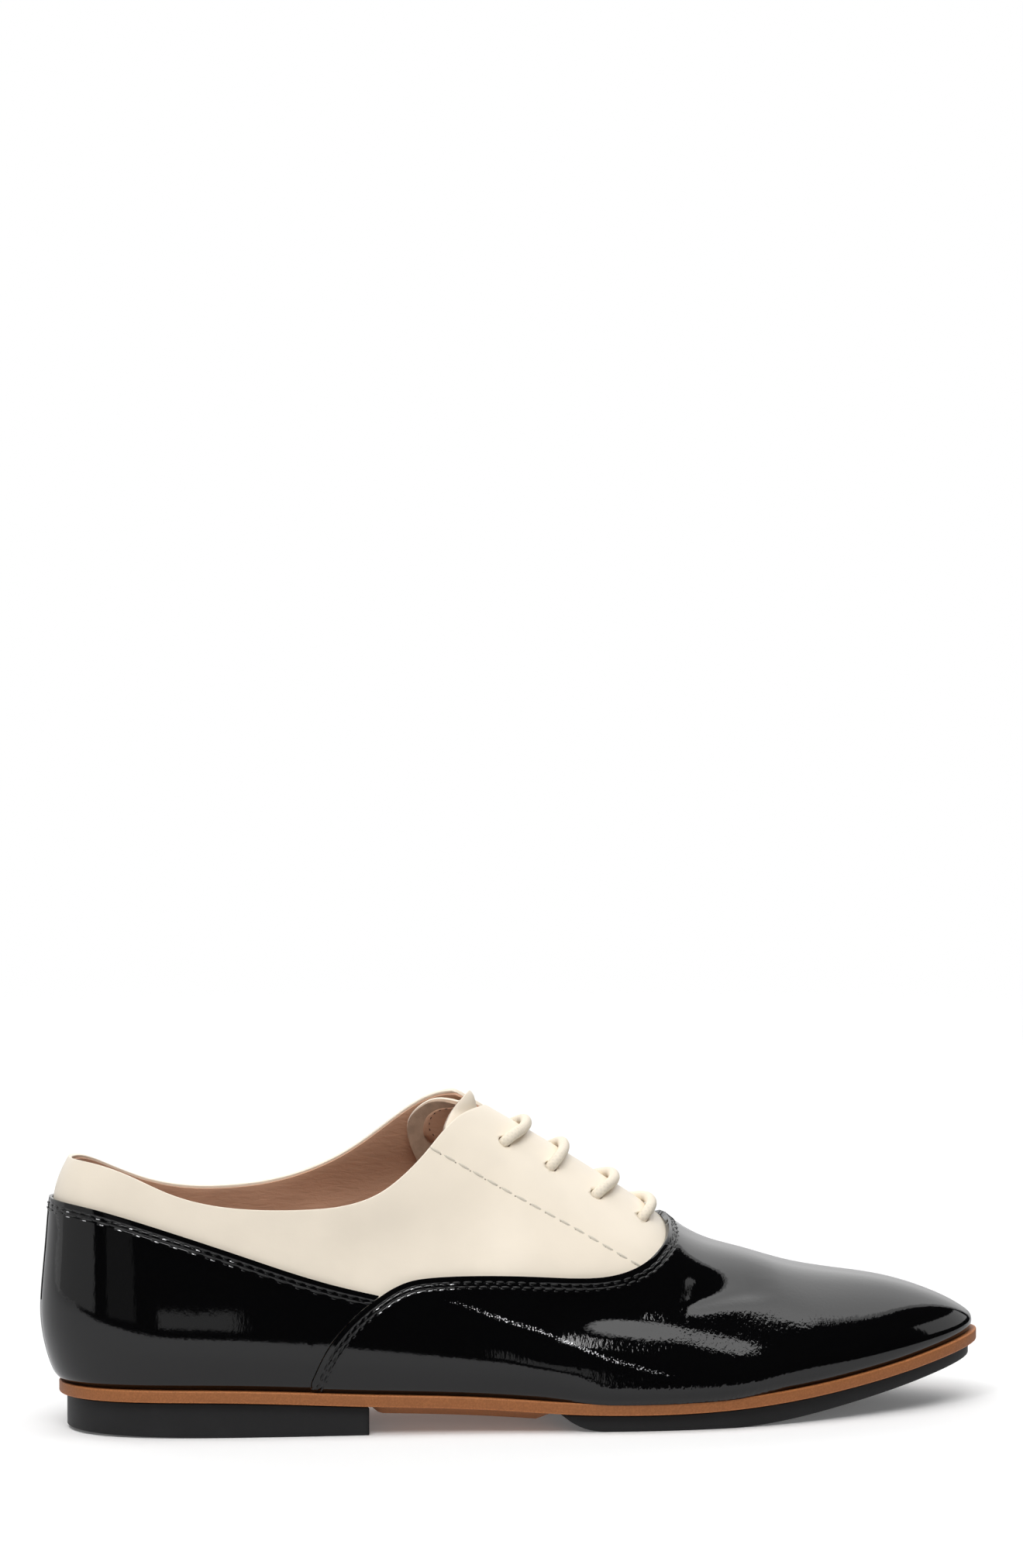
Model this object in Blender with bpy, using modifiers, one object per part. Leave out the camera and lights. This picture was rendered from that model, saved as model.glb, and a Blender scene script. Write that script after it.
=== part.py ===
"""Right spectator shoe: a flat two-tone lace-up oxford, piece by piece at its real size.

+X runs to the toe, +Y to the inner (medial) side of the foot and +Z up. The tables are in millimetres,
with x counted from the back of the leather sole and z from the floor. The origin of the finished shoe
is under the middle of its bounding box.
"""

import math

import bmesh
import bpy
import numpy as np
from mathutils import Matrix, Vector

MM = 0.001

# Driving sizes
SOLE_LENGTH = 261.0
LEATHER_SOLE = 3.4      # thickness of the leather sole at its edge
INSOLE = 2.2
UPPER_WALL = 1.8        # outer leather and lining together
OVERLAY = 0.9           # patent leather of the vamp and the foxing
VAMP_EXTRA = 0.4        # the vamp's turned edge stands higher than the foxing's
TONGUE_WALL = 1.6
FIT = 0.3               # gap between pieces that meet
OVERLAY_FIT = 0.35
TONGUE_FIT = 1.0        # the tongue hangs loose under the facings
ORIGIN_X, ORIGIN_Y = 127.90, -0.60   # middle of the bounding box in the tables' frame

# Places of the seams and of the throat
WELT_LEDGE, TOE_LEDGE = 1.8, 1.0    # the upper's foot stands this far inside the sole, and more at the toe
OVERLAY_LIFT = 1.2      # lower rims of the overlays stay this far above the upper's foot
VAMP_BACK = 65.0
SEAM_START = VAMP_BACK - 2.0
FOXING_FRONT = 83.5
SEAM_CLEAR = 1.2        # the foxing stops this far behind the vamp's back edge
THROAT_NEAR, THROAT_FOOT = 95.0, 170.5
THROAT_HALF_GAP = 1.5
THROAT_TAPER = 9.0      # length over which the gap closes at its foot
HEEL_BREAST = 80.9
FOREFOOT_BACK = 135.0
TREAD_FLAT = (146.0, 182.0)
SHANK_CROWN = 2.9       # the leather sole is this much thicker in the middle of the arch
ARCH_START, ARCH_END = HEEL_BREAST + 1.0, FOREFOOT_BACK - 1.0
ARCH_RISE, ARCH_FALL = 3.0, 14.0    # lengths over which the crown comes in and dies out
ARCH_FULLNESS = 20      # power that keeps the crown full almost to the sole's edge
HEEL_INSET = 2.2
HEEL_LIFT, HEEL_LIFT_END = 0.9, 48.0    # the heel's back edge is bevelled up, fading out forwards
FOREFOOT_INSET = 2.3
INSOLE_INSET = 5.6

# Lacing: four rows of punched holes along the instep
INSTEP_SLOPE = math.radians(32.0)
INSTEP_REACH = (70.0, 215.0)    # x between which the instep's places lie
HALVINGS = 40
LACE_DIAMETER, LACE_FIT = 3.1, 0.25
HOLE_DIAMETER, HOLE_SIDES = 3.8, 10
PUNCH_DEPTH = 4 * UPPER_WALL
HOLE_FIRST, HOLE_PITCH = 63.0, 14.8
LACE_COLUMNS = ("offset", "sag")    # from the ridge to each hole, and how far the bar's slack slides down
LACE_ROWS = ((11.2, 4.9), (11.8, 2.6), (13.6, 4.8), (13.2, 2.4))

# Tongue, along the instep axis
TONGUE_FOOT = 112.0
TONGUE_END = (
    (-1.0, 50.5), (-0.85, 46.9), (-0.7, 46.3), (-0.55, 46.6), (-0.36, 47.4), (-0.18, 48.5), (0.0, 49.4),
    (0.12, 49.2), (0.18, 48.2), (0.3, 45.3), (0.42, 42.8), (0.55, 41.4), (0.67, 40.85), (0.78, 41.8),
    (0.87, 45.0), (1.0, 53.0),
)   # its free edge: share of the half-width across, place along
TONGUE_HALF_WIDTHS = (16.5, 14.5)   # at the free end and at the foot
TONGUE_FLARE, FLARE_CENTRE, FLARE_REACH = 6.5, -1.0, (7.5, 3.6)    # the tip bends out in front of the throat
FLARE_LIFT = 1.54       # share of the tongue's depth that the bent tip rises

# Sections of the last. lateral and medial are the leather sole's half-widths, ridge is the height of the
# last's top line (over the open collar it is the line that the walls lean towards), round_lateral and
# round_medial are the roundness of each half section (2 is an ellipse), belly is how far the wall swells
# past its foot, shift is where the ridge lies to the medial side.
SECTION_COLUMNS = ("x", "lateral", "medial", "ridge", "round_lateral", "round_medial", "belly", "shift")
SECTIONS = (
    (0.0, 0.0, 0.0, 124.0, 2.0, 2.0, 2.6, 0.0),
    (5.0, 13.8, 13.8, 124.0, 2.0, 2.0, 2.6, 0.0),
    (12.0, 19.6, 19.6, 124.0, 2.0, 2.0, 2.6, 0.0),
    (25.0, 24.8, 24.6, 124.0, 2.0, 2.0, 2.6, 0.0),
    (40.0, 27.6, 26.8, 123.5, 2.0, 2.0, 2.4, 0.1),
    (60.0, 29.8, 27.5, 120.0, 1.95, 1.95, 2.0, 0.3),
    (80.0, 31.4, 27.0, 111.0, 1.88, 1.82, 1.7, 0.6),
    (100.0, 33.2, 26.8, 99.0, 1.8, 1.66, 1.6, 1.0),
    (120.0, 35.8, 28.8, 86.6, 1.75, 1.56, 1.8, 1.4),
    (140.0, 39.2, 33.2, 74.4, 1.75, 1.56, 2.2, 1.8),
    (155.0, 41.2, 37.2, 64.8, 1.78, 1.6, 2.4, 2.0),
    (165.0, 41.8, 39.4, 57.9, 1.82, 1.68, 2.4, 2.0),
    (173.0, 41.8, 40.7, 51.2, 1.88, 1.76, 2.3, 2.0),
    (182.0, 41.1, 41.3, 46.1, 1.95, 1.86, 2.2, 2.0),
    (192.0, 39.4, 40.7, 43.0, 2.02, 1.95, 2.0, 1.9),
    (206.0, 35.9, 38.2, 38.8, 2.1, 2.05, 1.7, 1.6),
    (220.0, 31.1, 34.0, 36.0, 2.15, 2.12, 1.3, 1.3),
    (234.0, 25.2, 27.9, 33.7, 2.2, 2.2, 0.9, 0.9),
    (245.0, 19.3, 21.5, 30.6, 2.2, 2.2, 0.5, 0.6),
    (253.0, 13.6, 15.0, 27.3, 2.2, 2.2, 0.2, 0.3),
    (258.5, 7.6, 8.3, 24.4, 2.2, 2.2, 0.0, 0.1),
    (261.0, 0.0, 0.0, 22.4, 2.2, 2.2, 0.0, 0.0),
)
SECTION = dict(zip(SECTION_COLUMNS, np.array(SECTIONS).T))

# x and height of the leather sole's top, and of the forefoot tread
SEAT = (
    (0, 13.4), (25, 13.5), (45, 13.2), (62, 12.5), (80, 11.6), (98, 10.9), (117, 9.9), (136, 8.6),
    (150, 8.2), (165, 8.2), (178, 8.6), (190, 9.3), (204, 10.6), (218, 12.4), (233, 14.8), (243, 16.7),
    (252, 18.5), (261, 20.3),
)
TREAD = (
    (135, 3.6), (138, 1.8), (142, 0.4), (146, 0.0), (164, 0.0), (182, 0.0), (192, 0.6), (204, 2.1),
    (218, 4.4), (233, 7.2), (243, 9.3), (252, 11.3), (261, 13.4),
)
# Height of the collar on each side of the foot
COLLAR_COLUMNS = ("x", "lateral", "medial")
COLLAR = (
    (0, 75.4, 75.4), (6, 74.9, 74.6), (15, 72.4, 71.2), (26, 67.5, 66.6), (38, 64.0, 63.8),
    (53, 62.4, 63.4), (66, 62.3, 65.2), (77, 63.4, 69.0), (86, 66.6, 74.2), (93, 71.4, 79.8),
    (99, 76.6, 85.0), (104.6, 81.8, 89.0), (109, 84.8, 90.8), (113.5, 86.4, 91.5), (120, 86.9, 91.8),
)
# x and height of the upper edges of the two patent pieces
VAMP_EDGE = (
    (63, 11.0), (65, 15.6), (68, 22.2), (72, 28.0), (76.5, 32.7), (81, 36.3), (86, 39.6), (92, 42.1),
    (98, 42.9), (107, 43.1), (118, 42.8), (130, 42.1), (140, 41.7), (148, 42.0), (155, 43.3),
    (160, 45.3), (164, 47.8), (167.5, 50.8), (170.5, 55.5),
)
FOXING_EDGE = (
    (-6, 64.9), (4, 63.4), (12, 61.4), (23, 58.0), (35, 54.0), (47, 49.8), (60, 45.2), (73, 41.2),
    (86, 38.0),
)
# Back of the heel: height above its foot line, and how far the wall stands behind that line
HEEL_BACK = (
    (0, 0.9), (4, 2.8), (9, 4.4), (17, 5.7), (28, 5.3), (40, 4.2), (48, 3.5), (53, 2.7), (58, 0.9),
    (63, -1.8),
)
BELLY_HEIGHT, BELLY_SHARE = 14.0, 0.3   # the wall is widest here, or at this share of a low section

# Mesh density, with stations where the seams and the throat turn
SEAM_KEYS = (SEAM_START, VAMP_BACK, 67.5, 71, 76, FOXING_FRONT)
THROAT_KEYS = (98, 104.6, 109, 113.5, 118, 158, 163, 167, THROAT_FOOT, 175, 180)
STATION_STEP = 11.475
LOWER_ROWS, UPPER_ROWS = 6, 4
TONGUE_ROWS, LACE_STEPS = 12, 10
PLAIN_PLACES = (-1.0, 0.0, 1.0)
ARCH_PLACES = (-1.0, -0.9, -0.4, 0.4, 0.9, 1.0)
MERGE_DISTANCE = 0.01
SHARP_EDGE = math.radians(40)


def spline(points):
    """A natural cubic through (position, value) rows, as a function of arrays."""
    at, value = np.array(points, float).T
    gap = np.diff(at)
    system, bend = np.eye(len(at)), np.zeros(len(at))
    for i in range(1, len(at) - 1):
        system[i, i - 1:i + 2] = gap[i - 1], 2 * (gap[i - 1] + gap[i]), gap[i]
        bend[i] = 6 * ((value[i + 1] - value[i]) / gap[i] - (value[i] - value[i - 1]) / gap[i - 1])
    curve = np.linalg.solve(system, bend)

    def read(x):
        i = np.clip(np.searchsorted(at, x) - 1, 0, len(gap) - 1)
        after, before, width = x - at[i], at[i + 1] - x, gap[i]
        return (
            (curve[i] * before**3 + curve[i + 1] * after**3) / (6 * width)
            + (value[i] / width - curve[i] * width / 6) * before
            + (value[i + 1] / width - curve[i + 1] * width / 6) * after
        )

    return read


def travel(x):
    """0 at the back of the sole and 1 at its toe, slow at both ends, so that round ends stay round."""
    return np.arccos(1 - 2 * np.clip(np.asarray(x, float) / SOLE_LENGTH, 0, 1)) / math.pi


def station(t):
    return SOLE_LENGTH * (1 - np.cos(math.pi * t)) / 2


LAST = {name: spline(list(zip(travel(SECTION["x"]), SECTION[name]))) for name in SECTION_COLUMNS[1:]}
HALF_WIDTH = {-1: LAST["lateral"], 1: LAST["medial"]}
ROUND = {-1: LAST["round_lateral"], 1: LAST["round_medial"]}
seat_height = spline(SEAT)
tread_curve = spline(TREAD)
collar_line = dict(zip(COLLAR_COLUMNS, np.array(COLLAR, float).T))
collar_height = {
    side: spline(list(zip(collar_line["x"], collar_line[name])))
    for side, name in ((-1, "lateral"), (1, "medial"))
}
vamp_edge_height = spline(VAMP_EDGE)
foxing_edge_height = spline(FOXING_EDGE)
heel_back_swell = spline(HEEL_BACK)


def outline(side, t, inset=0.0):
    """(x, y) of the sole's outline, moved inwards by inset, and its outward direction."""
    step = 1e-4
    slope = (HALF_WIDTH[side](t + step) - HALF_WIDTH[side](t - step)) / (2 * step)
    run = SOLE_LENGTH * math.pi / 2 * np.sin(math.pi * t)
    size = np.hypot(run, slope)
    out_x, out_y = -slope / size, side * run / size
    return station(t) - inset * out_x, side * HALF_WIDTH[side](t) - inset * out_y, out_x, out_y


def section_frame(side, t):
    """What a section stands on: its foot point, outward direction, height of foot and rise to the ridge."""
    toe = np.maximum(outline(side, t)[2], 0.0)
    foot_x, foot_y, out_x, out_y = outline(side, t, WELT_LEDGE + TOE_LEDGE * toe**2)
    foot_z = seat_height(foot_x) + FIT
    return foot_x, foot_y, out_x, out_y, foot_z, LAST["ridge"](t) - foot_z


def wall(side, t, angle):
    """A point on the outside of the upper: angle 0 is at the sole and a quarter turn is on the ridge."""
    foot_x, foot_y, out_x, out_y, foot_z, rise = section_frame(side, t)
    power, shift = ROUND[side](t), LAST["shift"](t)
    across, up = np.cos(angle) ** (2 / power), np.sin(angle) ** (2 / power)
    height = rise * up
    share = height / np.minimum(BELLY_HEIGHT, BELLY_SHARE * rise)
    swell = LAST["belly"](t) * share * np.exp(1 - share) * np.cos(angle) ** 2
    heel = np.where(out_x < 0, out_x**2, 0.0)
    swell = (1 - heel) * swell + heel * heel_back_swell(height)
    y = shift + (foot_y - shift) * across + swell * out_y
    return np.stack([foot_x + swell * out_x, y, foot_z + height], -1)


def angle_at(side, t, z):
    """Where on its section the wall reaches height z."""
    foot_z, rise = section_frame(side, t)[4:]
    share = np.clip((z - foot_z) / rise, 0, 1)
    return np.arcsin(share ** (ROUND[side](t) / 2))


def throat_angle(side, t):
    """Where the facing's edge leaves the ridge open."""
    closing = np.clip((THROAT_FOOT - station(t)) / THROAT_TAPER, 0, 1)
    share = THROAT_HALF_GAP * closing / abs(section_frame(side, t)[1] - LAST["shift"](t))
    return np.arccos(share ** (ROUND[side](t) / 2))


def top_angle(side, t):
    """The upper's free edge: collar, then facing, then the closed ridge."""
    x = station(t)
    if x >= THROAT_FOOT:
        return math.pi / 2
    if x >= COLLAR[-1][0]:
        return throat_angle(side, t)
    collar = angle_at(side, t, collar_height[side](x))
    return min(collar, throat_angle(side, t)) if x > THROAT_NEAR else collar


def vamp_angle(side, t):
    if station(t) >= THROAT_FOOT:
        return math.pi / 2
    return min(angle_at(side, t, vamp_edge_height(station(t))), top_angle(side, t))


def foxing_angle(side, t):
    return angle_at(side, t, foxing_edge_height(station(t)))


def lift_angle(side, t):
    return angle_at(side, t, section_frame(side, t)[4] + OVERLAY_LIFT)


def stations(start, end, keys=()):
    """Travel values from start to end that pass through the keys, closer together at the shoe's ends."""
    stops = travel(sorted({start, end, *(k for k in keys if start < k < end)}))
    found = [stops[0]]
    for low, high in zip(stops, stops[1:]):
        count = max(1, math.ceil((high - low) * SOLE_LENGTH * math.pi / 2 / STATION_STEP))
        found += list(np.linspace(low, high, count + 1)[1:])
    return found


def finish(mesh_maker, name, material, collection):
    """A linked object from a bmesh, in metres and in the shoe's frame."""
    bmesh.ops.remove_doubles(mesh_maker, verts=mesh_maker.verts, dist=MERGE_DISTANCE)
    for vertex in mesh_maker.verts:
        x, y, z = vertex.co
        vertex.co = (x - ORIGIN_X) * MM, (y - ORIGIN_Y) * MM, z * MM
    mesh = bpy.data.meshes.new(name)
    mesh_maker.to_mesh(mesh)
    mesh_maker.free()
    mesh.shade_smooth()
    mesh.set_sharp_from_angle(angle=SHARP_EDGE)
    made = bpy.data.objects.new(name, mesh)
    made.data.materials.append(material)
    collection.objects.link(made)
    return made


def add_grid(mesh_maker, points, flip=False):
    """Quads over a grid of points, one list of points for each station."""
    rows = [[mesh_maker.verts.new(p) for p in row] for row in points]
    for here, there in zip(rows, rows[1:]):
        for j in range(len(here) - 1):
            corners = (here[j], there[j], there[j + 1], here[j + 1])
            mesh_maker.faces.new(corners[::-1] if flip else corners)


def shell(name, material, collection, spans, thickness, offset):
    """A wall over both sides of the last. spans maps a side to (t, angles) rows; offset 1 is outwards."""
    mesh_maker = bmesh.new()
    for side, rows in spans.items():
        add_grid(mesh_maker, [wall(side, t, np.asarray(angles)) for t, angles in rows], flip=side > 0)
    made = finish(mesh_maker, name, material, collection)
    if offset > 0:
        clear = made.modifiers.new("clear of the upper", "DISPLACE")
        clear.strength, clear.mid_level = OVERLAY_FIT * MM, 0.0
    solid = made.modifiers.new("wall", "SOLIDIFY")
    solid.thickness, solid.offset = thickness * MM, offset
    return made


def plate(name, material, collection, stops, inset, top, bottom, places=PLAIN_PLACES):
    """A solid between two heights over the sole's outline, each of x and the place across, -1 to 1."""
    mesh_maker = bmesh.new()
    last = len(places) - 1
    layers = []
    for height in (top, bottom):
        layer = []
        for t in stops:
            left, right = (np.array(outline(side, t, inset)[:2]) for side in (-1, 1))
            row = [left + (right - left) * (place + 1) / 2 for place in places]
            layer.append([mesh_maker.verts.new((x, y, height(x, p))) for (x, y), p in zip(row, places)])
        layers.append(layer)
    upper, lower = layers
    for i in range(len(stops) - 1):
        for j in range(last):
            ring = ((i, j), (i + 1, j), (i + 1, j + 1), (i, j + 1))
            mesh_maker.faces.new([upper[a][b] for a, b in ring])
            mesh_maker.faces.new([lower[a][b] for a, b in ring[::-1]])
    rim = [(i, 0) for i in range(len(stops))]
    rim += [(len(stops) - 1, j) for j in range(1, last + 1)]
    rim += [(i, last) for i in range(len(stops) - 2, -1, -1)]
    rim += [(0, j) for j in range(last - 1, 0, -1)]
    for (a, b), (c, d) in zip(rim, rim[1:] + rim[:1]):
        mesh_maker.faces.new((lower[a][b], lower[c][d], upper[c][d], upper[a][b]))
    return finish(mesh_maker, name, material, collection)


def crown_height(x, y):
    """Height of the last's top over a plan point."""
    t = travel(x)
    side = -1 if y < LAST["shift"](t) else 1
    foot_y, foot_z, rise = (section_frame(side, t)[i] for i in (1, 4, 5))
    share = abs(y - LAST["shift"](t)) / abs(foot_y - LAST["shift"](t))
    power = ROUND[side](t)
    return foot_z + rise * (1 - min(share, 1) ** power) ** (1 / power)


def instep_point(along, y, lift=0.0):
    """A point along the instep's axis and across it, lifted off the upper, and its outward direction."""
    low, high = INSTEP_REACH
    for _ in range(HALVINGS):
        x = (low + high) / 2
        place = x * math.cos(INSTEP_SLOPE) - crown_height(x, y) * math.sin(INSTEP_SLOPE)
        low, high = (x, high) if place < along else (low, x)
    step = 0.5
    slope_x = (crown_height(x + step, y) - crown_height(x - step, y)) / (2 * step)
    slope_y = (crown_height(x, y + step) - crown_height(x, y - step)) / (2 * step)
    out = np.array([-slope_x, -slope_y, 1.0])
    out /= np.linalg.norm(out)
    return np.array([x, y, crown_height(x, y)]) + lift * out, out


def leather_sole_under(x, place):
    """Underside of the leather sole: flat at heel and forefoot, crowned in the arch."""
    arch = np.clip((x - ARCH_START) / ARCH_RISE, 0, 1) * np.clip((ARCH_END - x) / ARCH_FALL, 0, 1)
    return seat_height(x) - LEATHER_SOLE - SHANK_CROWN * arch * (1 - place**ARCH_FULLNESS)


def heel_tread(x, place):
    return HEEL_LIFT * max(0.0, 1 - x / HEEL_LIFT_END) ** 2


def tread_height(x, place):
    low, high = TREAD_FLAT
    return 0.0 if low <= x <= high else max(0.0, float(tread_curve(x)))


def build_sole(collection, leather, rubber, lining):
    def seat(x, place):
        return seat_height(x)

    def under_leather(x, place):
        return seat_height(x) - LEATHER_SOLE - FIT

    arch_keys = (ARCH_START, ARCH_START + ARCH_RISE, ARCH_END - ARCH_FALL, ARCH_END)
    plate(
        "leather_sole", leather, collection, stations(0, SOLE_LENGTH, arch_keys), 0.0,
        seat, leather_sole_under, ARCH_PLACES,
    )
    plate(
        "heel", rubber, collection, stations(0, HEEL_BREAST, (HEEL_LIFT_END,)), HEEL_INSET,
        under_leather, heel_tread,
    )
    tread_keys = (TREAD[1][0], TREAD[2][0], *TREAD_FLAT)
    plate(
        "forefoot_sole", rubber, collection, stations(FOREFOOT_BACK, SOLE_LENGTH, tread_keys), FOREFOOT_INSET,
        under_leather, tread_height,
    )
    plate(
        "insole", lining, collection, stations(0, SOLE_LENGTH), INSOLE_INSET,
        lambda x, place: seat_height(x) + FIT + INSOLE, lambda x, place: seat_height(x) + FIT,
    )


def build_upper(collection, cutters, cream):
    spans = {}
    for side in (-1, 1):
        rows = []
        for t in stations(0, SOLE_LENGTH, (*SEAM_KEYS, *THROAT_KEYS)):
            edge = foxing_angle(side, t) if station(t) < FOXING_FRONT else vamp_angle(side, t)
            top = top_angle(side, t)
            lower = np.linspace(lift_angle(side, t), edge, LOWER_ROWS + 1)
            rows.append((t, np.concatenate([[0.0], lower, np.linspace(edge, top, UPPER_ROWS + 1)[1:]])))
        spans[side] = rows
    upper = shell("upper", cream, collection, spans, UPPER_WALL, -1)
    mesh_maker = bmesh.new()
    for row in lace_rows():
        for side in (-1, 1):
            turn = hole_matrix(*instep_point(row["along"], side * row["offset"]))
            bmesh.ops.create_cone(
                mesh_maker, cap_ends=True, segments=HOLE_SIDES, radius1=HOLE_DIAMETER / 2,
                radius2=HOLE_DIAMETER / 2, depth=PUNCH_DEPTH, matrix=turn,
            )
    punch = finish(mesh_maker, "lace_hole_punch", cream, cutters)
    punch.hide_render, punch.display_type = True, "WIRE"
    cut = upper.modifiers.new("lace holes", "BOOLEAN")
    cut.object, cut.operation = punch, "DIFFERENCE"


def lace_rows():
    """Place along the instep, offset from the ridge and slack of each row of the lacing."""
    return [
        {"along": HOLE_FIRST + HOLE_PITCH * row, **dict(zip(LACE_COLUMNS, sizes))}
        for row, sizes in enumerate(LACE_ROWS)
    ]


def hole_matrix(centre, out):
    """A frame at the centre of a hole with its Z along the outward direction."""
    return Matrix.Translation(Vector(centre)) @ Vector(out).to_track_quat("Z", "Y").to_matrix().to_4x4()


def build_overlays(collection, patent):
    vamp, foxing = {}, {}
    steps = np.linspace(0, 1, LOWER_ROWS + 1)
    for side in (-1, 1):
        vamp[side] = [
            (t, lift_angle(side, t) + (vamp_angle(side, t) - lift_angle(side, t)) * steps)
            for t in stations(VAMP_BACK, SOLE_LENGTH, (*SEAM_KEYS, *THROAT_KEYS))
        ]
        foxing[side] = []
        for t in stations(0, FOXING_FRONT, SEAM_KEYS):
            low = lift_angle(side, t)
            if station(t) > SEAM_START:
                low = max(low, angle_at(side, t, vamp_edge_height(station(t) + SEAM_CLEAR)))
            foxing[side].append((t, low + (foxing_angle(side, t) - low) * steps))
    shell("vamp", patent, collection, vamp, OVERLAY + VAMP_EXTRA, 1)
    shell("foxing", patent, collection, foxing, OVERLAY, 1)


def build_tongue(collection, cream):
    mesh_maker = bmesh.new()
    rows = []
    for share in np.linspace(0, 1, TONGUE_ROWS + 1) ** 1.5:
        half_width = TONGUE_HALF_WIDTHS[0] + (TONGUE_HALF_WIDTHS[1] - TONGUE_HALF_WIDTHS[0]) * share
        row = []
        for place, end in TONGUE_END:
            along = end + (TONGUE_FOOT - end) * share
            y = place * half_width
            flare = max(0.0, 1 - ((along - end) / TONGUE_FLARE) ** 2) ** 2
            aside = (y - FLARE_CENTRE) / FLARE_REACH[int(y > FLARE_CENTRE)]
            flare *= max(0.0, 1 - aside**2) ** 2
            depth = (UPPER_WALL + TONGUE_FIT) * (1 - FLARE_LIFT * flare)
            row.append(instep_point(along, y, -depth)[0])
        rows.append(row)
    add_grid(mesh_maker, rows)
    tongue = finish(mesh_maker, "tongue", cream, collection)
    solid = tongue.modifiers.new("wall", "SOLIDIFY")
    solid.thickness, solid.offset = TONGUE_WALL * MM, -1


def build_laces(collection, cord):
    for number, row in enumerate(lace_rows(), 1):
        line = bpy.data.curves.new(f"lace_bar_{number}", "CURVE")
        line.dimensions, line.bevel_depth, line.bevel_resolution = "3D", LACE_DIAMETER / 2 * MM, 2
        line.use_fill_caps = True
        places = np.linspace(-1, 1, LACE_STEPS + 1)
        route = line.splines.new("POLY")
        route.points.add(len(places) - 1)
        for point, place in zip(route.points, places):
            along = row["along"] + row["sag"] * (1 - place**2)
            x, y, z = instep_point(along, place * row["offset"], LACE_DIAMETER / 2 + LACE_FIT)[0]
            point.co = (x - ORIGIN_X) * MM, (y - ORIGIN_Y) * MM, z * MM, 1
        bar = bpy.data.objects.new(f"lace_bar_{number}", line)
        line.materials.append(cord)
        collection.objects.link(bar)


def material(name, colour, roughness):
    made = bpy.data.materials.new(name)
    made.use_nodes = True
    shader = made.node_tree.nodes["Principled BSDF"]
    shader.inputs["Base Color"].default_value = (*colour, 1)
    shader.inputs["Roughness"].default_value = roughness
    return made


def main():
    for old in list(bpy.data.objects):
        bpy.data.objects.remove(old)
    shoe = bpy.data.collections.new("spectator shoe")
    cutters = bpy.data.collections.new("cutters")
    for collection in (shoe, cutters):
        bpy.context.scene.collection.children.link(collection)
    cream = material("cream calf leather", (0.80, 0.72, 0.58), 0.45)
    patent = material("black patent leather", (0.010, 0.010, 0.011), 0.06)
    tan = material("natural sole leather", (0.42, 0.19, 0.075), 0.6)
    rubber = material("black rubber", (0.022, 0.022, 0.024), 0.55)
    lining = material("nude lining leather", (0.48, 0.28, 0.19), 0.5)
    cord = material("cream waxed cord", (0.80, 0.72, 0.58), 0.7)
    build_sole(shoe, tan, rubber, lining)
    build_upper(shoe, cutters, cream)
    build_overlays(shoe, patent)
    build_tongue(shoe, cream)
    build_laces(shoe, cord)


main()
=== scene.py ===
"""Looks of a right spectator shoe: its leathers, cord laces and stitches, in a plain white studio.

The shoe's solids are loaded as a fixed frame. Every piece is worked out from the same last as the solids,
in millimetres, with x from the back of the leather sole and z from the floor, and is then set in the
frame's metres. +X runs to the toe, +Y to the inner (medial) side of the foot and +Z up.
"""

import math

import bmesh
import bpy
import numpy as np
from mathutils import Matrix, Vector
from mathutils.bvhtree import BVHTree


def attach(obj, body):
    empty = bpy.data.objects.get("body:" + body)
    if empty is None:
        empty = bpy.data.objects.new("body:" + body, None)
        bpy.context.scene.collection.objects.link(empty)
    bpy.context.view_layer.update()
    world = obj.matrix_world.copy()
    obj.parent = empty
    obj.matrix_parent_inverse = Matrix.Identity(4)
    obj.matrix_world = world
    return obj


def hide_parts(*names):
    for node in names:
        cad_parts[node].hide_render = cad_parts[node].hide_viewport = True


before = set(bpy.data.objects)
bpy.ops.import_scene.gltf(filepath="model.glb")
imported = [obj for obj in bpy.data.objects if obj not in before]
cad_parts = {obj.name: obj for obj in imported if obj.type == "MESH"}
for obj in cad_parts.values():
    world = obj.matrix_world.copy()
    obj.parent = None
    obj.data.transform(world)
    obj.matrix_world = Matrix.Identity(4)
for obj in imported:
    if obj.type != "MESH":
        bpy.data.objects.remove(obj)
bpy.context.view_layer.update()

bl_info = {
    "name": "Spectator shoe finish",
    "version": (1, 0, 0),
    "blender": (4, 5, 0),
    "location": "View3D > Sidebar > Shoe",
    "description": "Dresses the solids of a spectator shoe in leather, laces and stitches",
    "category": "Object",
}

BODY = "root"
MM = 0.001
ORIGIN_X, ORIGIN_Y = 127.90, -0.60   # the frame's origin in the tables
TO_FRAME = Matrix.Scale(MM, 4) @ Matrix.Translation((-ORIGIN_X, -ORIGIN_Y, 0.0))

# Driving sizes, as in the solids
SOLE_LENGTH = 261.0
LEATHER_SOLE = 3.4
INSOLE = 2.2
FIT = 0.3
OVERLAY_FIT = 0.35
UPPER_WALL = 1.8
WELT_LEDGE, TOE_LEDGE = 1.8, 1.0
VAMP_BACK = 65.0
FOXING_FRONT = 83.5
THROAT_NEAR, THROAT_FOOT = 95.0, 170.5
THROAT_HALF_GAP = 1.5
THROAT_TAPER = 9.0
HEEL_BREAST = 80.9
FOREFOOT_BACK = 135.0
TREAD_FLAT = (146.0, 182.0)
SHANK_CROWN = 2.9
ARCH_START, ARCH_END = HEEL_BREAST + 1.0, FOREFOOT_BACK - 1.0
ARCH_RISE, ARCH_FALL = 3.0, 6.0
ARCH_FULLNESS = 20
HEEL_INSET = 2.2
HEEL_LIFT, HEEL_LIFT_END = 0.9, 48.0
FOREFOOT_INSET = 2.3

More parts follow.
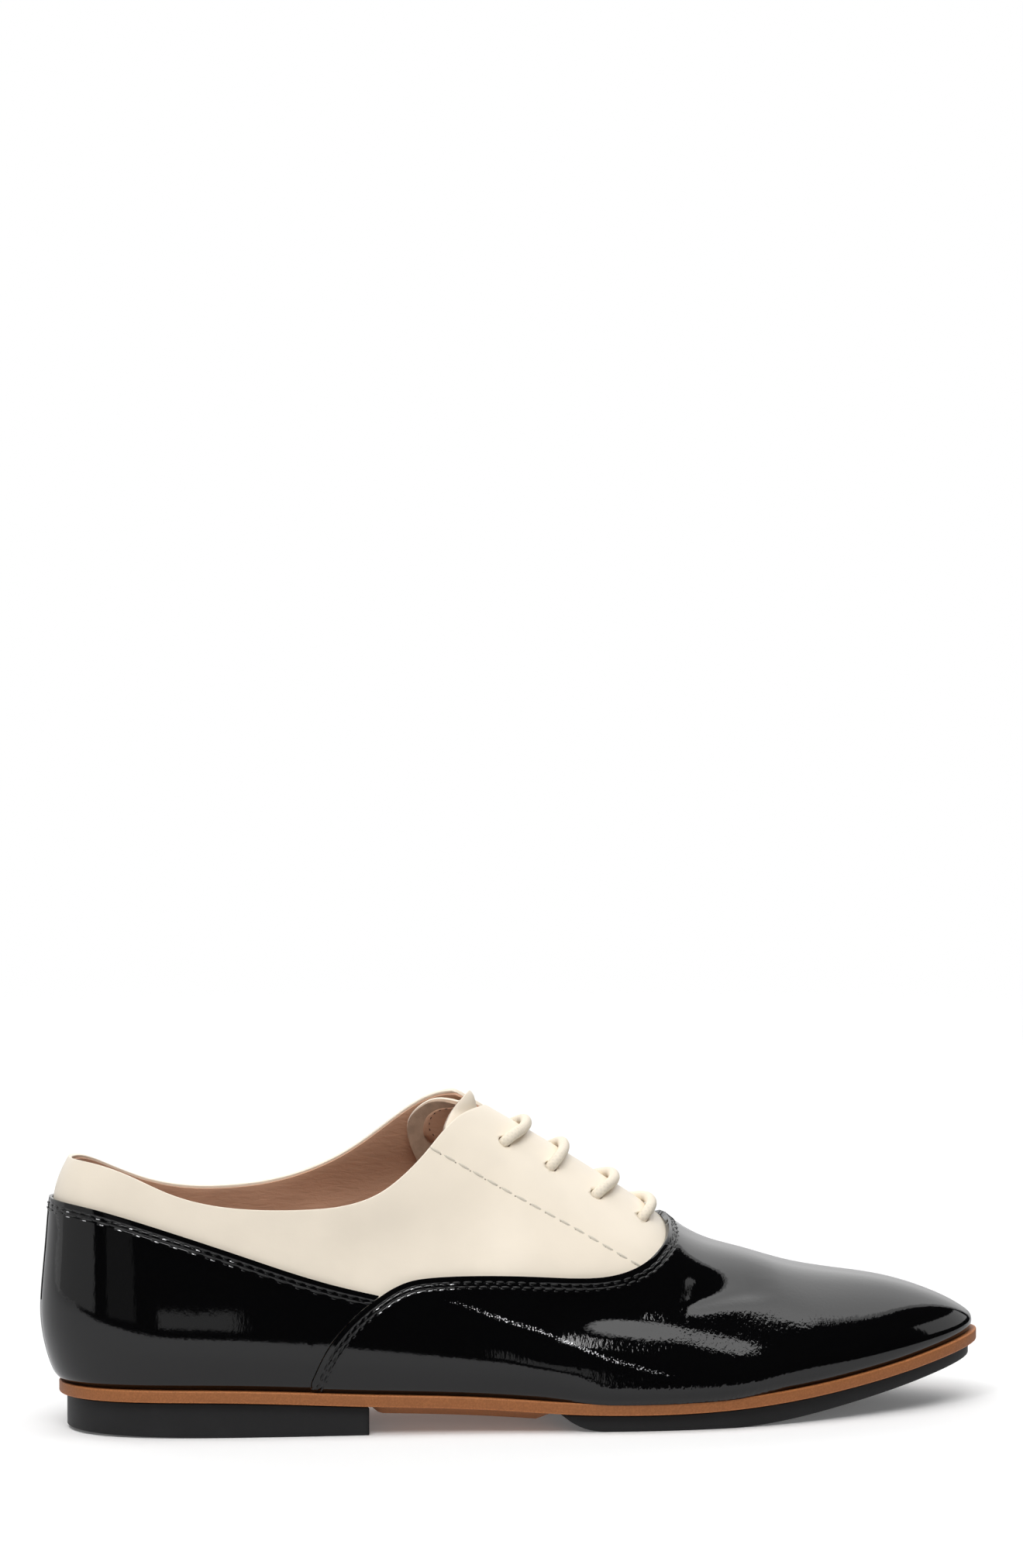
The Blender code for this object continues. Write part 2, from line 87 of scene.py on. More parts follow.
# Materials that several pieces share
CREAM, PATENT, LINING = "cream calf leather", "black patent leather", "nude lining leather"

# Layers of the upper that the solids hold as one wall
QUARTER_LEATHER = 1.1
LINING_LEATHER = 0.65
LINING_GAP = 0.05
LINING_DROP = 0.7       # the lining ends this far below the folded collar
VAMP_LEATHER, FOXING_LEATHER = 1.3, 0.9
QUARTER_LAP = 9.0       # the quarters run this far under the patent pieces
QUARTER_FRONT = 177.0
OVERLAY_LIFT = 0.1
SEAM_CLEAR = 0.3
INSOLE_INSET = 4.0

# Radius of each piece's edges
QUARTER_ROUNDING, LINING_ROUNDING, VAMP_ROUNDING, FOXING_ROUNDING = 0.45, 0.25, 0.35, 0.3
TONGUE_ROUNDING, BACKING_ROUNDING, INSOLE_ROUNDING = 0.25, 0.2, 0.6
SOLE_ROUNDING, RUBBER_ROUNDING = 0.55, 0.45
SHARP_ANGLE = math.radians(50)      # a sharper edge is rounded

# Lacing
INSTEP_SLOPE = math.radians(32.0)
INSTEP_REACH = (70.0, 215.0)
HALVINGS = 40
LACE_FIT = 0.25
LACE_SPAN, LACE_PLACES = 0.84, 15       # how much of the way between its holes a bar lies on the instep
LACE_DIVE = (3.0, 0.4)                  # depths in its hole that a bar runs through
HOLE_DIAMETER, HOLE_SIDES = 3.8, 28
PUNCH_LENGTH = 4 * UPPER_WALL
HOLE_FIRST, HOLE_PITCH = 63.0, 14.8
LACE_COLUMNS = ("offset", "sag")
LACE_ROWS = ((11.2, 4.9), (11.8, 2.6), (13.6, 4.8), (13.2, 2.4))

# Tongue, along the instep axis
TONGUE_FIT = 1.0
TONGUE_FACE, TONGUE_BACKING, TONGUE_PANEL = 0.6, 1.0, 0.35
PANEL_DEPTH = TONGUE_FACE + TONGUE_BACKING
TONGUE_FOOT = 112.0
TONGUE_END = (
    (-1.0, 50.5), (-0.85, 46.9), (-0.7, 46.3), (-0.55, 46.6), (-0.36, 47.4), (-0.18, 48.5), (0.0, 49.4),
    (0.12, 49.2), (0.18, 48.2), (0.3, 45.3), (0.42, 42.8), (0.55, 41.4), (0.67, 40.85), (0.78, 41.8),
    (0.87, 45.0), (1.0, 53.0),
)   # its free edge: share of the half-width across, place along
TONGUE_HALF_WIDTHS = (16.5, 14.5)
TONGUE_FLARE, FLARE_CENTRE, FLARE_REACH = 6.5, -1.0, (7.5, 3.6)
FLARE_LIFT = 1.54

# Sections of the last, a row for each, as in the solids
SECTION_COLUMNS = ("x", "lateral", "medial", "ridge", "round_lateral", "round_medial", "belly", "shift")
SECTIONS = (
    (0.0, 0.0, 0.0, 124.0, 2.0, 2.0, 2.6, 0.0),
    (5.0, 13.8, 13.8, 124.0, 2.0, 2.0, 2.6, 0.0),
    (12.0, 19.6, 19.6, 124.0, 2.0, 2.0, 2.6, 0.0),
    (25.0, 24.8, 24.6, 124.0, 2.0, 2.0, 2.6, 0.0),
    (40.0, 27.6, 26.8, 123.5, 2.0, 2.0, 2.4, 0.1),
    (60.0, 29.8, 27.5, 120.0, 1.95, 1.95, 2.0, 0.3),
    (80.0, 31.4, 27.0, 111.0, 1.88, 1.82, 1.7, 0.6),
    (100.0, 33.2, 26.8, 99.0, 1.8, 1.66, 1.6, 1.0),
    (120.0, 35.8, 28.8, 86.6, 1.75, 1.56, 1.8, 1.4),
    (140.0, 39.2, 33.2, 74.4, 1.75, 1.56, 2.2, 1.8),
    (155.0, 41.2, 37.2, 64.8, 1.78, 1.6, 2.4, 2.0),
    (165.0, 41.8, 39.4, 57.9, 1.82, 1.68, 2.4, 2.0),
    (173.0, 41.8, 40.7, 51.2, 1.88, 1.76, 2.3, 2.0),
    (182.0, 41.1, 41.3, 46.1, 1.95, 1.86, 2.2, 2.0),
    (192.0, 39.4, 40.7, 43.0, 2.02, 1.95, 2.0, 1.9),
    (206.0, 35.9, 38.2, 38.8, 2.1, 2.05, 1.7, 1.6),
    (220.0, 31.1, 34.0, 36.0, 2.15, 2.12, 1.3, 1.3),
    (234.0, 25.2, 27.9, 33.7, 2.2, 2.2, 0.9, 0.9),
    (245.0, 19.3, 21.5, 30.6, 2.2, 2.2, 0.5, 0.6),
    (253.0, 13.6, 15.0, 27.3, 2.2, 2.2, 0.2, 0.3),
    (258.5, 7.6, 8.3, 24.4, 2.2, 2.2, 0.0, 0.1),
    (261.0, 0.0, 0.0, 22.4, 2.2, 2.2, 0.0, 0.0),
)
SECTION = dict(zip(SECTION_COLUMNS, np.array(SECTIONS).T))
# x and height of the leather sole's top, and of the forefoot tread
SEAT = (
    (0, 13.4), (25, 13.5), (45, 13.2), (62, 12.5), (80, 11.6), (98, 10.9), (117, 9.9), (136, 8.6),
    (150, 8.2), (165, 8.2), (178, 8.6), (190, 9.3), (204, 10.6), (218, 12.4), (233, 14.8), (243, 16.7),
    (252, 18.5), (261, 20.3),
)
TREAD = (
    (135, 3.6), (138, 1.8), (142, 0.4), (146, 0.0), (164, 0.0), (182, 0.0), (192, 0.6), (204, 2.1),
    (218, 4.4), (233, 7.2), (243, 9.3), (252, 11.3), (261, 13.4),
)
# Height of the collar on each side of the foot
COLLAR_COLUMNS = ("x", "lateral", "medial")
COLLAR = (
    (0, 75.4, 75.4), (6, 74.9, 74.6), (15, 72.4, 71.2), (26, 67.5, 66.6), (38, 64.0, 63.8),
    (53, 62.4, 63.4), (66, 62.3, 65.2), (77, 63.4, 69.0), (86, 66.6, 74.2), (93, 71.4, 79.8),
    (99, 76.6, 85.0), (104.6, 81.8, 89.0), (109, 84.8, 90.8), (113.5, 86.4, 91.5), (120, 86.9, 91.8),
)
# x and height of the upper edges of the two patent pieces
VAMP_EDGE = (
    (63, 11.0), (65, 15.6), (68, 22.2), (72, 28.0), (76.5, 32.7), (81, 36.3), (86, 39.6), (92, 42.1),
    (98, 42.9), (107, 43.1), (118, 42.8), (130, 42.1), (140, 41.7), (148, 42.0), (155, 43.3),
    (160, 45.3), (164, 47.8), (167.5, 50.8), (170.5, 55.5),
)
FOXING_EDGE = (
    (-6, 64.9), (4, 63.4), (12, 61.4), (23, 58.0), (35, 54.0), (47, 49.8), (60, 45.2), (73, 41.2),
    (86, 38.0),
)
# Back of the heel: height above its foot line, and how far the wall stands behind that line
HEEL_BACK = (
    (0, 0.9), (4, 2.8), (9, 4.4), (17, 5.7), (28, 5.3), (40, 4.2), (48, 3.5), (53, 2.7), (58, 0.9),
    (63, -1.8),
)
BELLY_HEIGHT, BELLY_SHARE = 14.0, 0.3
# x and height of the eyestay's stitch line on the outer side
EYESTAY = (
    (100.7, 77.3), (109.9, 72.0), (120.6, 65.8), (131.1, 59.7), (141.5, 53.8), (152.1, 47.6), (156.6, 45.1),
)

# Folds of the upper: side, reach below and above, height and the (x, z) points it runs through in side view.
# A fold fades out at both ends, and one below the surface is a trough.
FOLD_COLUMNS = ("side", "below", "above", "height", "route")
FOLDS = (
    (-1, 6.0, 10.0, -2.6, (
        (124, 31.5), (138, 33.5), (150, 33.5), (162, 31.5), (174, 28.2), (186, 25.0), (196, 22.5),
        (206, 20.5),
    )),
    (-1, 8.0, 6.0, -1.3, ((118, 30.5), (134, 32.0), (151, 31.5), (168, 28.5))),
    (-1, 2.5, 4.5, -1.8, ((164, 34.6), (174, 35.4), (183, 36.1), (192, 35.8), (199, 34.9))),
    (-1, 5.0, 5.0, 1.3, ((126, 9.0), (145, 8.7), (165, 8.5), (185, 8.7), (200, 9.5))),
    (-1, 12.0, 10.0, -1.3, ((66, 50), (82, 52), (98, 55), (114, 57), (130, 57))),
    (1, 5.0, 10.0, -1.6, ((136, 30.0), (154, 31.5), (170, 30.0), (192, 25.5))),
    (1, 4.0, 4.0, -0.7, ((160, 38.0), (172, 39.0), (184, 37.5))),
    (1, 6.0, 8.0, 1.5, ((60, 56), (80, 60), (100, 66), (115, 72))),
)
FOLD_FADE = 0.3
FOLD_MARGIN = 8.0       # folds also fade out towards the ridge
# A fine line on the vamp, from the outer seam down to the ball, along which light flecks are painted as a
# glinting highlight
PAINTED_SPARKLE_LINE = (
    (98, 38.0), (108, 35.0), (117.4, 31.4), (127.9, 28.1), (140.3, 22.8), (152.9, 18.4), (168, 14.6),
)
# Where the upper flexes: a finer mesh, and small wrinkles round its middle
FLEX, FLEX_DENSITY = (156.0, 190.0), 2.5
WRINKLE_MIDDLE, WRINKLE_REACH = 176.0, 30.0
WRINKLE_TOP, WRINKLE_BLEND, WRINKLE_REST = 36.0, 4.0, 0.05     # above the top only the rest is left
# Patent leather turns in under its lower edge
TUCK_REACH, TUCK_DEPTH = 1.4, 0.9
# The seam down the back of the foxing: its heights, its furrow and its thread
BACK_SEAM, BACK_SEAM_STEPS, BACK_SEAM_FRONT = (36.0, 63.0), 24, 5.0
BACK_SEAM_REACH, BACK_SEAM_DEPTH, BACK_SEAM_WIDTH = 0.7, 0.25, 0.75

# Mesh density
STATIONS = 300
PATENT_ROWS, QUARTER_ROWS, LINING_ROWS = 56, 36, 30
FOOT_ROWS = 7       # every so many of the patent rows, at the foxing's foot
TONGUE_COLUMNS, TONGUE_ROWS = 49, 60
PANEL_SIDES, PANEL_RINGS = 96, 16
PLATE_PLACES = 14
PLATE_RINGS = (4.0, 1.6)   # rings of a plate inside its rounded edge
CORNER_STEPS = 4
WELD = 0.01
RIDGE_GAP = 0.3     # the two sides of a sheet are joined where their upper edges come this near
SHEETS = {}   # the open sheet of each sewn piece, that paths are laid on
LINE_DENSITY = 2 * STATIONS     # along the lines that seams follow
EYESTAY_STEPS = 80
PATH_STEP = 0.4
ROUTE_PLACES = 120

# Stitches and what they do to the leather; a size is a length, width and height in metres
STITCH_SHARE = 0.8      # a stitch's length in its pitch
PUFF_ASIDE = 0.5
PUFF_SIZE = (1.3 * MM, 0.5 * MM, 0.24 * MM)
GLINT_SIZE = (1.5 * MM, 0.34 * MM, 0.3 * MM)
GLINTS = {"vamp": (26.0, 50.0), "foxing": (40.0, 88.0)}   # where the puffs glint, from both ends of the edge
GLINT_EVERY = (3, 1)    # in the first and the second row, every so many puffs
FOXING_LINE_END = 1.0   # the foxing's seams stop this far short of its front
EYESTAY_START, EYESTAY_FLATNESS = 1.0, 0.8
# Beside each eyestay stitch: a bead painted as its shadow, and a dark bead painted as the shade in its hole
SHADOW_AND_HOLE_ASIDE, SHADOW_ALONG = 0.3, 0.3
SHADOW_SIZE = (3.1 * MM, 0.42 * MM, 0.16 * MM)
NEEDLE_HOLE_SHADE = (0.55 * MM, 0.45 * MM, 0.2 * MM)
TONGUE_STITCH = (0.9 * MM, 0.3 * MM, 0.2 * MM)
PANEL_MIDDLE, PANEL_SEAM = 57.0, 0.93
# The panel inside the tongue: place along and across
PANEL_OUTLINE = (
    (51.5, 0.0), (48.2, 5.3), (46.1, 7.2), (44.8, 9.0), (44.6, 10.5), (45.8, 12.1), (48.5, 13.1),
    (54.0, 13.3), (62.0, 12.6), (69.0, 8.5), (72.5, 0.0), (69.0, -8.5), (62.0, -12.4), (55.5, -12.8),
    (52.0, -11.5), (51.3, -8.5), (51.8, -4.0), (51.5, 0.0),
)
LACE_RINGS, LACE_SIDES = 90, 20
BRAID_PITCH, BRAID_STRANDS = 1.0 * MM, 5


def spline(points):
    """A natural cubic through (position, value) rows, as a function of arrays."""
    at, value = np.array(points, float).T
    gap = np.diff(at)
    system, bend = np.eye(len(at)), np.zeros(len(at))
    for i in range(1, len(at) - 1):
        system[i, i - 1:i + 2] = gap[i - 1], 2 * (gap[i - 1] + gap[i]), gap[i]
        bend[i] = 6 * ((value[i + 1] - value[i]) / gap[i] - (value[i] - value[i - 1]) / gap[i - 1])
    curve = np.linalg.solve(system, bend)

    def read(x):
        i = np.clip(np.searchsorted(at, x) - 1, 0, len(gap) - 1)
        after, before, width = x - at[i], at[i + 1] - x, gap[i]
        return (
            (curve[i] * before**3 + curve[i + 1] * after**3) / (6 * width)
            + (value[i] / width - curve[i] * width / 6) * before
            + (value[i + 1] / width - curve[i + 1] * width / 6) * after
        )

    return read


def lengths(line):
    """How far along a line each of its points lies."""
    return np.concatenate([[0.0], np.cumsum(np.linalg.norm(np.diff(line, axis=0), axis=1))])


def smooth_route(route, count):
    """Points in even steps along a smooth line through a route, and how far along it they lie."""
    route = np.array(route, float)
    steps = lengths(route)
    even = np.linspace(0, steps[-1], count)
    return np.stack([spline(list(zip(steps, column)))(even) for column in route.T], 1), even


def travel(x):
    """0 at the back of the sole and 1 at its toe, slow at both ends, so that round ends stay round."""
    return np.arccos(1 - 2 * np.clip(np.asarray(x, float) / SOLE_LENGTH, 0, 1)) / math.pi


def station(t):
    return SOLE_LENGTH * (1 - np.cos(math.pi * t)) / 2


LAST = {name: spline(list(zip(travel(SECTION["x"]), SECTION[name]))) for name in SECTION_COLUMNS[1:]}
HALF_WIDTH = {-1: LAST["lateral"], 1: LAST["medial"]}
ROUND = {-1: LAST["round_lateral"], 1: LAST["round_medial"]}
seat_height = spline(SEAT)
tread_curve = spline(TREAD)
collar_line = dict(zip(COLLAR_COLUMNS, np.array(COLLAR, float).T))
collar_height = {
    side: spline(list(zip(collar_line["x"], collar_line[name])))
    for side, name in ((-1, "lateral"), (1, "medial"))
}
vamp_edge_height = spline(VAMP_EDGE)
foxing_edge_height = spline(FOXING_EDGE)
heel_back_swell = spline(HEEL_BACK)
tongue_end = spline(TONGUE_END)


def outline(side, t, inset=0.0):
    """(x, y) of the sole's outline, moved inwards by inset, and its outward direction."""
    step = 1e-4
    slope = (HALF_WIDTH[side](t + step) - HALF_WIDTH[side](t - step)) / (2 * step)
    run = SOLE_LENGTH * math.pi / 2 * np.sin(math.pi * t)
    size = np.hypot(run, slope)
    out_x, out_y = -slope / size, side * run / size
    return station(t) - inset * out_x, side * HALF_WIDTH[side](t) - inset * out_y, out_x, out_y


def section_frame(side, t):
    """What a section stands on: its foot point, outward direction, height of foot and rise to the ridge."""
    toe = np.maximum(outline(side, t)[2], 0.0)
    foot_x, foot_y, out_x, out_y = outline(side, t, WELT_LEDGE + TOE_LEDGE * toe**2)
    foot_z = seat_height(foot_x) + FIT
    return foot_x, foot_y, out_x, out_y, foot_z, LAST["ridge"](t) - foot_z


def wall(side, t, angle):
    """A point on the outside of the upper: angle 0 is at the sole and a quarter turn is on the ridge."""
    foot_x, foot_y, out_x, out_y, foot_z, rise = section_frame(side, t)
    power, shift = ROUND[side](t), LAST["shift"](t)
    across = np.maximum(np.cos(angle), 0) ** (2 / power)
    height = rise * np.maximum(np.sin(angle), 0) ** (2 / power)
    share = height / np.minimum(BELLY_HEIGHT, BELLY_SHARE * rise)
    swell = LAST["belly"](t) * share * np.exp(1 - share) * np.cos(angle) ** 2
    heel = np.where(out_x < 0, out_x**2, 0.0)
    swell = (1 - heel) * swell + heel * heel_back_swell(height)
    y = shift + (foot_y - shift) * across + swell * out_y
    x = np.broadcast_to(foot_x + swell * out_x, y.shape)
    return np.stack([x, y, np.broadcast_to(foot_z + height, y.shape)], -1)


def angle_at(side, t, z):
    """Where on its section the wall reaches height z."""
    foot_z, rise = section_frame(side, t)[4:]
    share = np.clip((z - foot_z) / rise, 0, 1)
    return np.arcsin(share ** (ROUND[side](t) / 2))


def throat_angle(side, t):
    """Where the facing's edge leaves the ridge open."""
    closing = np.clip((THROAT_FOOT - station(t)) / THROAT_TAPER, 0, 1)
    share = THROAT_HALF_GAP * closing / abs(section_frame(side, t)[1] - LAST["shift"](t))
    return np.arccos(share ** (ROUND[side](t) / 2))


def top_angle(side, t, drop=0.0):
    """The upper's free edge: collar, then facing, then the closed ridge; drop lowers the collar."""
    x = station(t)
    if x >= THROAT_FOOT:
        return math.pi / 2
    if x >= COLLAR[-1][0]:
        return throat_angle(side, t)
    collar = angle_at(side, t, collar_height[side](x) - drop)
    return min(collar, throat_angle(side, t)) if x > THROAT_NEAR else collar


def vamp_angle(side, t):
    if station(t) >= THROAT_FOOT:
        return math.pi / 2
    return min(angle_at(side, t, vamp_edge_height(station(t))), top_angle(side, t))


def quarter_angle(side, t):
    """The quarters' lower edge, some way under the patent pieces."""
    x = station(t)
    vamp_edge = vamp_edge_height(min(x, VAMP_EDGE[-1][0]))
    edge = foxing_edge_height(x) if x < FOXING_FRONT else vamp_edge
    return angle_at(side, t, max(edge - QUARTER_LAP, section_frame(side, t)[4]))


def foxing_angle(side, t):
    return angle_at(side, t, foxing_edge_height(station(t)))


def lift_angle(side, t):
    return angle_at(side, t, section_frame(side, t)[4] + OVERLAY_LIFT)


def stations(start, end, count=STATIONS, len_of=None):
    """Travel values from start to end, as many as a stretch (or the one in len_of) has of the whole count."""
    low, high = travel(len_of or (start, end))
    return np.linspace(travel(start), travel(end), max(3, round((high - low) * count)))


def crown_height(x, y):
    """Height of the last's top over plan points."""
    t = travel(x)
    middle = LAST["shift"](t)
    heights = []
    for side in (-1, 1):
        foot_y, foot_z, rise = (section_frame(side, t)[i] for i in (1, 4, 5))
        power = ROUND[side](t)
        share = np.minimum(abs(y - middle) / abs(foot_y - middle), 1)
        heights.append(foot_z + rise * (1 - share**power) ** (1 / power))
    return np.where(y < middle, *heights)


def instep_point(along, y, lift=0.0):
    """Points along the instep's axis and across it, lifted off the upper, and their outward directions."""
    along, y = np.broadcast_arrays(np.asarray(along, float), np.asarray(y, float))
    low, high = (np.full(along.shape, end) for end in INSTEP_REACH)
    for _ in range(HALVINGS):
        x = (low + high) / 2
        before = x * math.cos(INSTEP_SLOPE) - crown_height(x, y) * math.sin(INSTEP_SLOPE) < along
        low, high = np.where(before, x, low), np.where(before, high, x)
    step = 0.5
    slope_x = (crown_height(x + step, y) - crown_height(x - step, y)) / (2 * step)
    slope_y = (crown_height(x, y + step) - crown_height(x, y - step)) / (2 * step)
    out = np.stack([-slope_x, -slope_y, np.ones(x.shape)], -1)
    out /= np.linalg.norm(out, axis=-1, keepdims=True)
    return np.stack([x, y, crown_height(x, y)], -1) + np.asarray(lift)[..., None] * out, out


def lace_rows():
    """Place along the instep, offset from the ridge and slack of each row of the lacing."""
    return [
        {"along": HOLE_FIRST + HOLE_PITCH * row, **dict(zip(LACE_COLUMNS, sizes))}
        for row, sizes in enumerate(LACE_ROWS)
    ]


def lace_holes():
    """The centre and the outward direction of each lace hole."""
    for row in lace_rows():
        for side in (-1, 1):
            yield tuple(Vector(v) for v in instep_point(row["along"], side * row["offset"]))


def leather_sole_under(x, place):
    """Underside of the leather sole: flat at heel and forefoot, crowned in the arch."""
    place = np.abs(place)
    arch = np.clip((x - ARCH_START) / ARCH_RISE, 0, 1) * np.clip((ARCH_END - x) / ARCH_FALL, 0, 1)
    return seat_height(x) - LEATHER_SOLE - SHANK_CROWN * arch * (1 - place**ARCH_FULLNESS)


def heel_tread(x, place):
    return HEEL_LIFT * np.maximum(0.0, 1 - x / HEEL_LIFT_END) ** 2


def tread_height(x, place):
    low, high = TREAD_FLAT
    return np.where((low <= x) & (x <= high), 0.0, np.maximum(0.0, tread_curve(x)))


# Meshes

def add_grid(maker, points, flip=False):
    """Quads over a grid of points, one row of points for each station."""
    rows = [[maker.verts.new(p) for p in row] for row in points]
    for here, there in zip(rows, rows[1:]):
        for j in range(len(here) - 1):
            corners = (here[j], there[j], there[j + 1], here[j + 1])
            maker.faces.new(corners[::-1] if flip else corners)


def sheet_between(t, low_edge, high_edge, rows):
    """Stations and angles of a sheet on both sides; an edge is a function of the side and the station."""
    steps = np.linspace(0, 1, rows + 1)
    spans = {}
    for side in (-1, 1):
        low, high = (np.array([edge(side, at) for at in t]) for edge in (low_edge, high_edge))
        spans[side] = (t, low[:, None] + (high - low)[:, None] * steps)
    return spans


def skin(*sheets):
    """An open sheet over both sides of the last, joined along the ridge where the sides meet.

    A sheet maps each side to its stations and their angles.
    """
    maker = bmesh.new()
    for spans in sheets:
        left, right = (wall(side, t[:, None], angles) for side, (t, angles) in sorted(spans.items()))
        apart = left[:, -1] - right[:, -1]
        apart[np.linalg.norm(apart, axis=1) > RIDGE_GAP] = 0.0
        left[:, -1] -= apart / 2
        right[:, -1] += apart / 2
        add_grid(maker, left)
        add_grid(maker, right, flip=True)
    bmesh.ops.remove_doubles(maker, verts=maker.verts, dist=WELD)
    return maker


def points_of(maker):
    return np.array([v.co for v in maker.verts])


def raise_skin(maker, lift):
    """Moves a sheet along its normals by lift, a function of its points, in millimetres."""
    maker.normal_update()
    points = points_of(maker)
    normals = np.array([v.normal for v in maker.verts])
    for vertex, point in zip(maker.verts, points + normals * lift(points)[:, None]):
        vertex.co = point


def mark_distance(maker, name, line):
    """Stores each point's distance from a line, in metres, for the material to read."""
    points = points_of(maker)
    nearest = np.full(len(points), np.inf)
    for point in line:
        nearest = np.minimum(nearest, ((points - point) ** 2).sum(1))
    mark(maker, **{name: np.sqrt(nearest) * MM})


def plate(reach, inset, top, bottom, corner):
    """A solid between two heights over the sole's outline, its edges rounded to the corner radius.

    A height is of x and the place across, -1 to 1. The rim is built of rings that follow the outline, and a
    cut end, such as the heel's breast, is rounded as the outline is.
    """
    turn = np.linspace(0, math.pi / 2, CORNER_STEPS + 1)
    over = [(d, 0.0) for d in PLATE_RINGS]
    over += [(corner * (1 - math.sin(a)), corner * (1 - math.cos(a))) for a in turn]
    rims = [0.0] * len(PLATE_RINGS) + [math.sin(2 * a) for a in turn]
    maker = bmesh.new()
    rim = maker.verts.layers.float.new("rim")
    rings = []
    for height, down in ((top, 1), (bottom, -1)):
        made = []
        for (depth, drop), bright in zip(over, rims):
            start, end = (x + sign * depth * (0 < x < SOLE_LENGTH) for x, sign in zip(reach, (1, -1)))
            t = stations(start, end, len_of=reach)
            loop = []
            for side in (-1, 1):
                x, y = outline(side, t, inset + depth)[:2]
                z = height(x, np.full(x.shape, float(side))) - down * drop
                loop.append([maker.verts.new(p) for p in np.stack([x, y, z], -1)])
                for vertex in loop[-1]:
                    vertex[rim] = bright
            made.append(loop)
        rings.append(made)
    bands = rings[0] + rings[1][::-1]
    for (left, right), (next_left, next_right) in zip(bands, bands[1:]):
        here, there = left + right[::-1], next_left + next_right[::-1]
        for i in range(len(here)):
            maker.faces.new((here[i - 1], there[i - 1], there[i], here[i]))
    for (left, right), height, down in ((rings[0][0], top, True), (rings[1][0], bottom, False)):
        places = np.linspace(-1, 1, PLATE_PLACES + 1)
        columns = [left]
        for place in places[1:-1]:
            column = []
            for a, b in zip(left, right):
                point = a.co.lerp(b.co, (place + 1) / 2)
                point.z = height(point.x, place)
                column.append(maker.verts.new(point))
            columns.append(column)
        columns.append(right)
        for here, there in zip(columns, columns[1:]):
            for i in range(len(here) - 1):
                corners = (here[i], here[i + 1], there[i + 1], there[i])
                maker.faces.new(corners if down else corners[::-1])
    bmesh.ops.remove_doubles(maker, verts=maker.verts, dist=WELD)
    return maker


def link(name, data):
    """A new object in the scene."""
    made = bpy.data.objects.new(name, data)
    bpy.context.scene.collection.objects.link(made)
    return made


def smooth_piece(name, maker, material):
    """An object in one material from a bmesh in the frame's metres."""
    mesh = bpy.data.meshes.new(name)
    maker.to_mesh(mesh)
    maker.free()
    mesh.shade_smooth()
    mesh.materials.append(material)
    return link(name, mesh)


def new_piece(name, maker, material):
    """An object in one material from a bmesh in the tables' millimetres."""
    bmesh.ops.transform(maker, matrix=TO_FRAME, verts=maker.verts)
    return smooth_piece(name, maker, material)


def cut_leather(name, maker, material, thickness, radius=0.0, segments=3):
    """A piece whose outside is a sheet, with the leather's thickness and rounded edges as modifiers."""
    piece = new_piece(name, maker, material)
    solid = piece.modifiers.new("leather", "SOLIDIFY")
    solid.thickness, solid.offset = thickness * MM, -1
    if radius:
        rounding = piece.modifiers.new("rounded edges", "BEVEL")
        rounding.width, rounding.segments = radius * MM, segments
        rounding.limit_method, rounding.angle_limit = "ANGLE", SHARP_ANGLE
    return piece


def settle(piece):
    """Turns the piece's modifiers into plain mesh."""
    graph = bpy.context.evaluated_depsgraph_get()
    mesh = bpy.data.meshes.new_from_object(piece.evaluated_get(graph))
    piece.modifiers.clear()
    piece.data = mesh
    mesh.shade_smooth()


def seat(piece, slot, *nodes):
    """Fixes a finished piece to the shoe's body, in place of the solids that it stands for."""
    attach(piece, BODY)
    if nodes:
        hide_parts(*nodes)


# Shader and geometry nodes

class Nodes:
    """A node tree to which every node is added in one way: its type, settings and sockets."""

    def __init__(self, tree):
        self.tree = tree

    def add(self, kind, settings=None, sockets=None):
        node = self.tree.nodes.new(kind)
        for name, value in (settings or {}).items():
            setattr(node, name, value)
        for name, value in (sockets or {}).items():
            self.feed(node.inputs[name], value)
        return node

    def feed(self, socket, value):
        value = value.socket if isinstance(value, Value) else value
        if isinstance(value, bpy.types.NodeSocket):
            self.tree.links.new(value, socket)
        else:
            socket.default_value = value


class Value:
    """A socket that takes part in arithmetic: each operation adds a Math node."""

    def __init__(self, nodes, socket):
        self.nodes, self.socket = nodes, socket

    def math(self, operation, *others):
        sockets = dict(enumerate((self, *others)))
        node = self.nodes.add("ShaderNodeMath", {"operation": operation}, sockets)
        return Value(self.nodes, node.outputs[0])

    def __add__(self, other):
        return self.math("ADD", other)

    def __sub__(self, other):
        return self.math("SUBTRACT", other)

    def __mul__(self, other):
        return self.math("MULTIPLY", other)

    def __truediv__(self, other):
        return self.math("DIVIDE", other)

    def __pow__(self, other):
        return self.math("POWER", other)

    def __rsub__(self, other):
        return self * -1 + other

    __radd__ = __add__
    __rmul__ = __mul__

    def bell(self, centre, reach):
        """1 where the value is at the centre, falling smoothly to 0 at the reach."""
        return ((self - centre) / reach).math("ABSOLUTE").ramp(1.0, 0.0)

    def ramp(self, low, high):
        """0 below low, 1 above high and smooth between."""
        sockets = {"Value": self, "From Min": low, "From Max": high}
        node = self.nodes.add("ShaderNodeMapRange", {"interpolation_type": "SMOOTHSTEP"}, sockets)
        return Value(self.nodes, node.outputs["Result"])


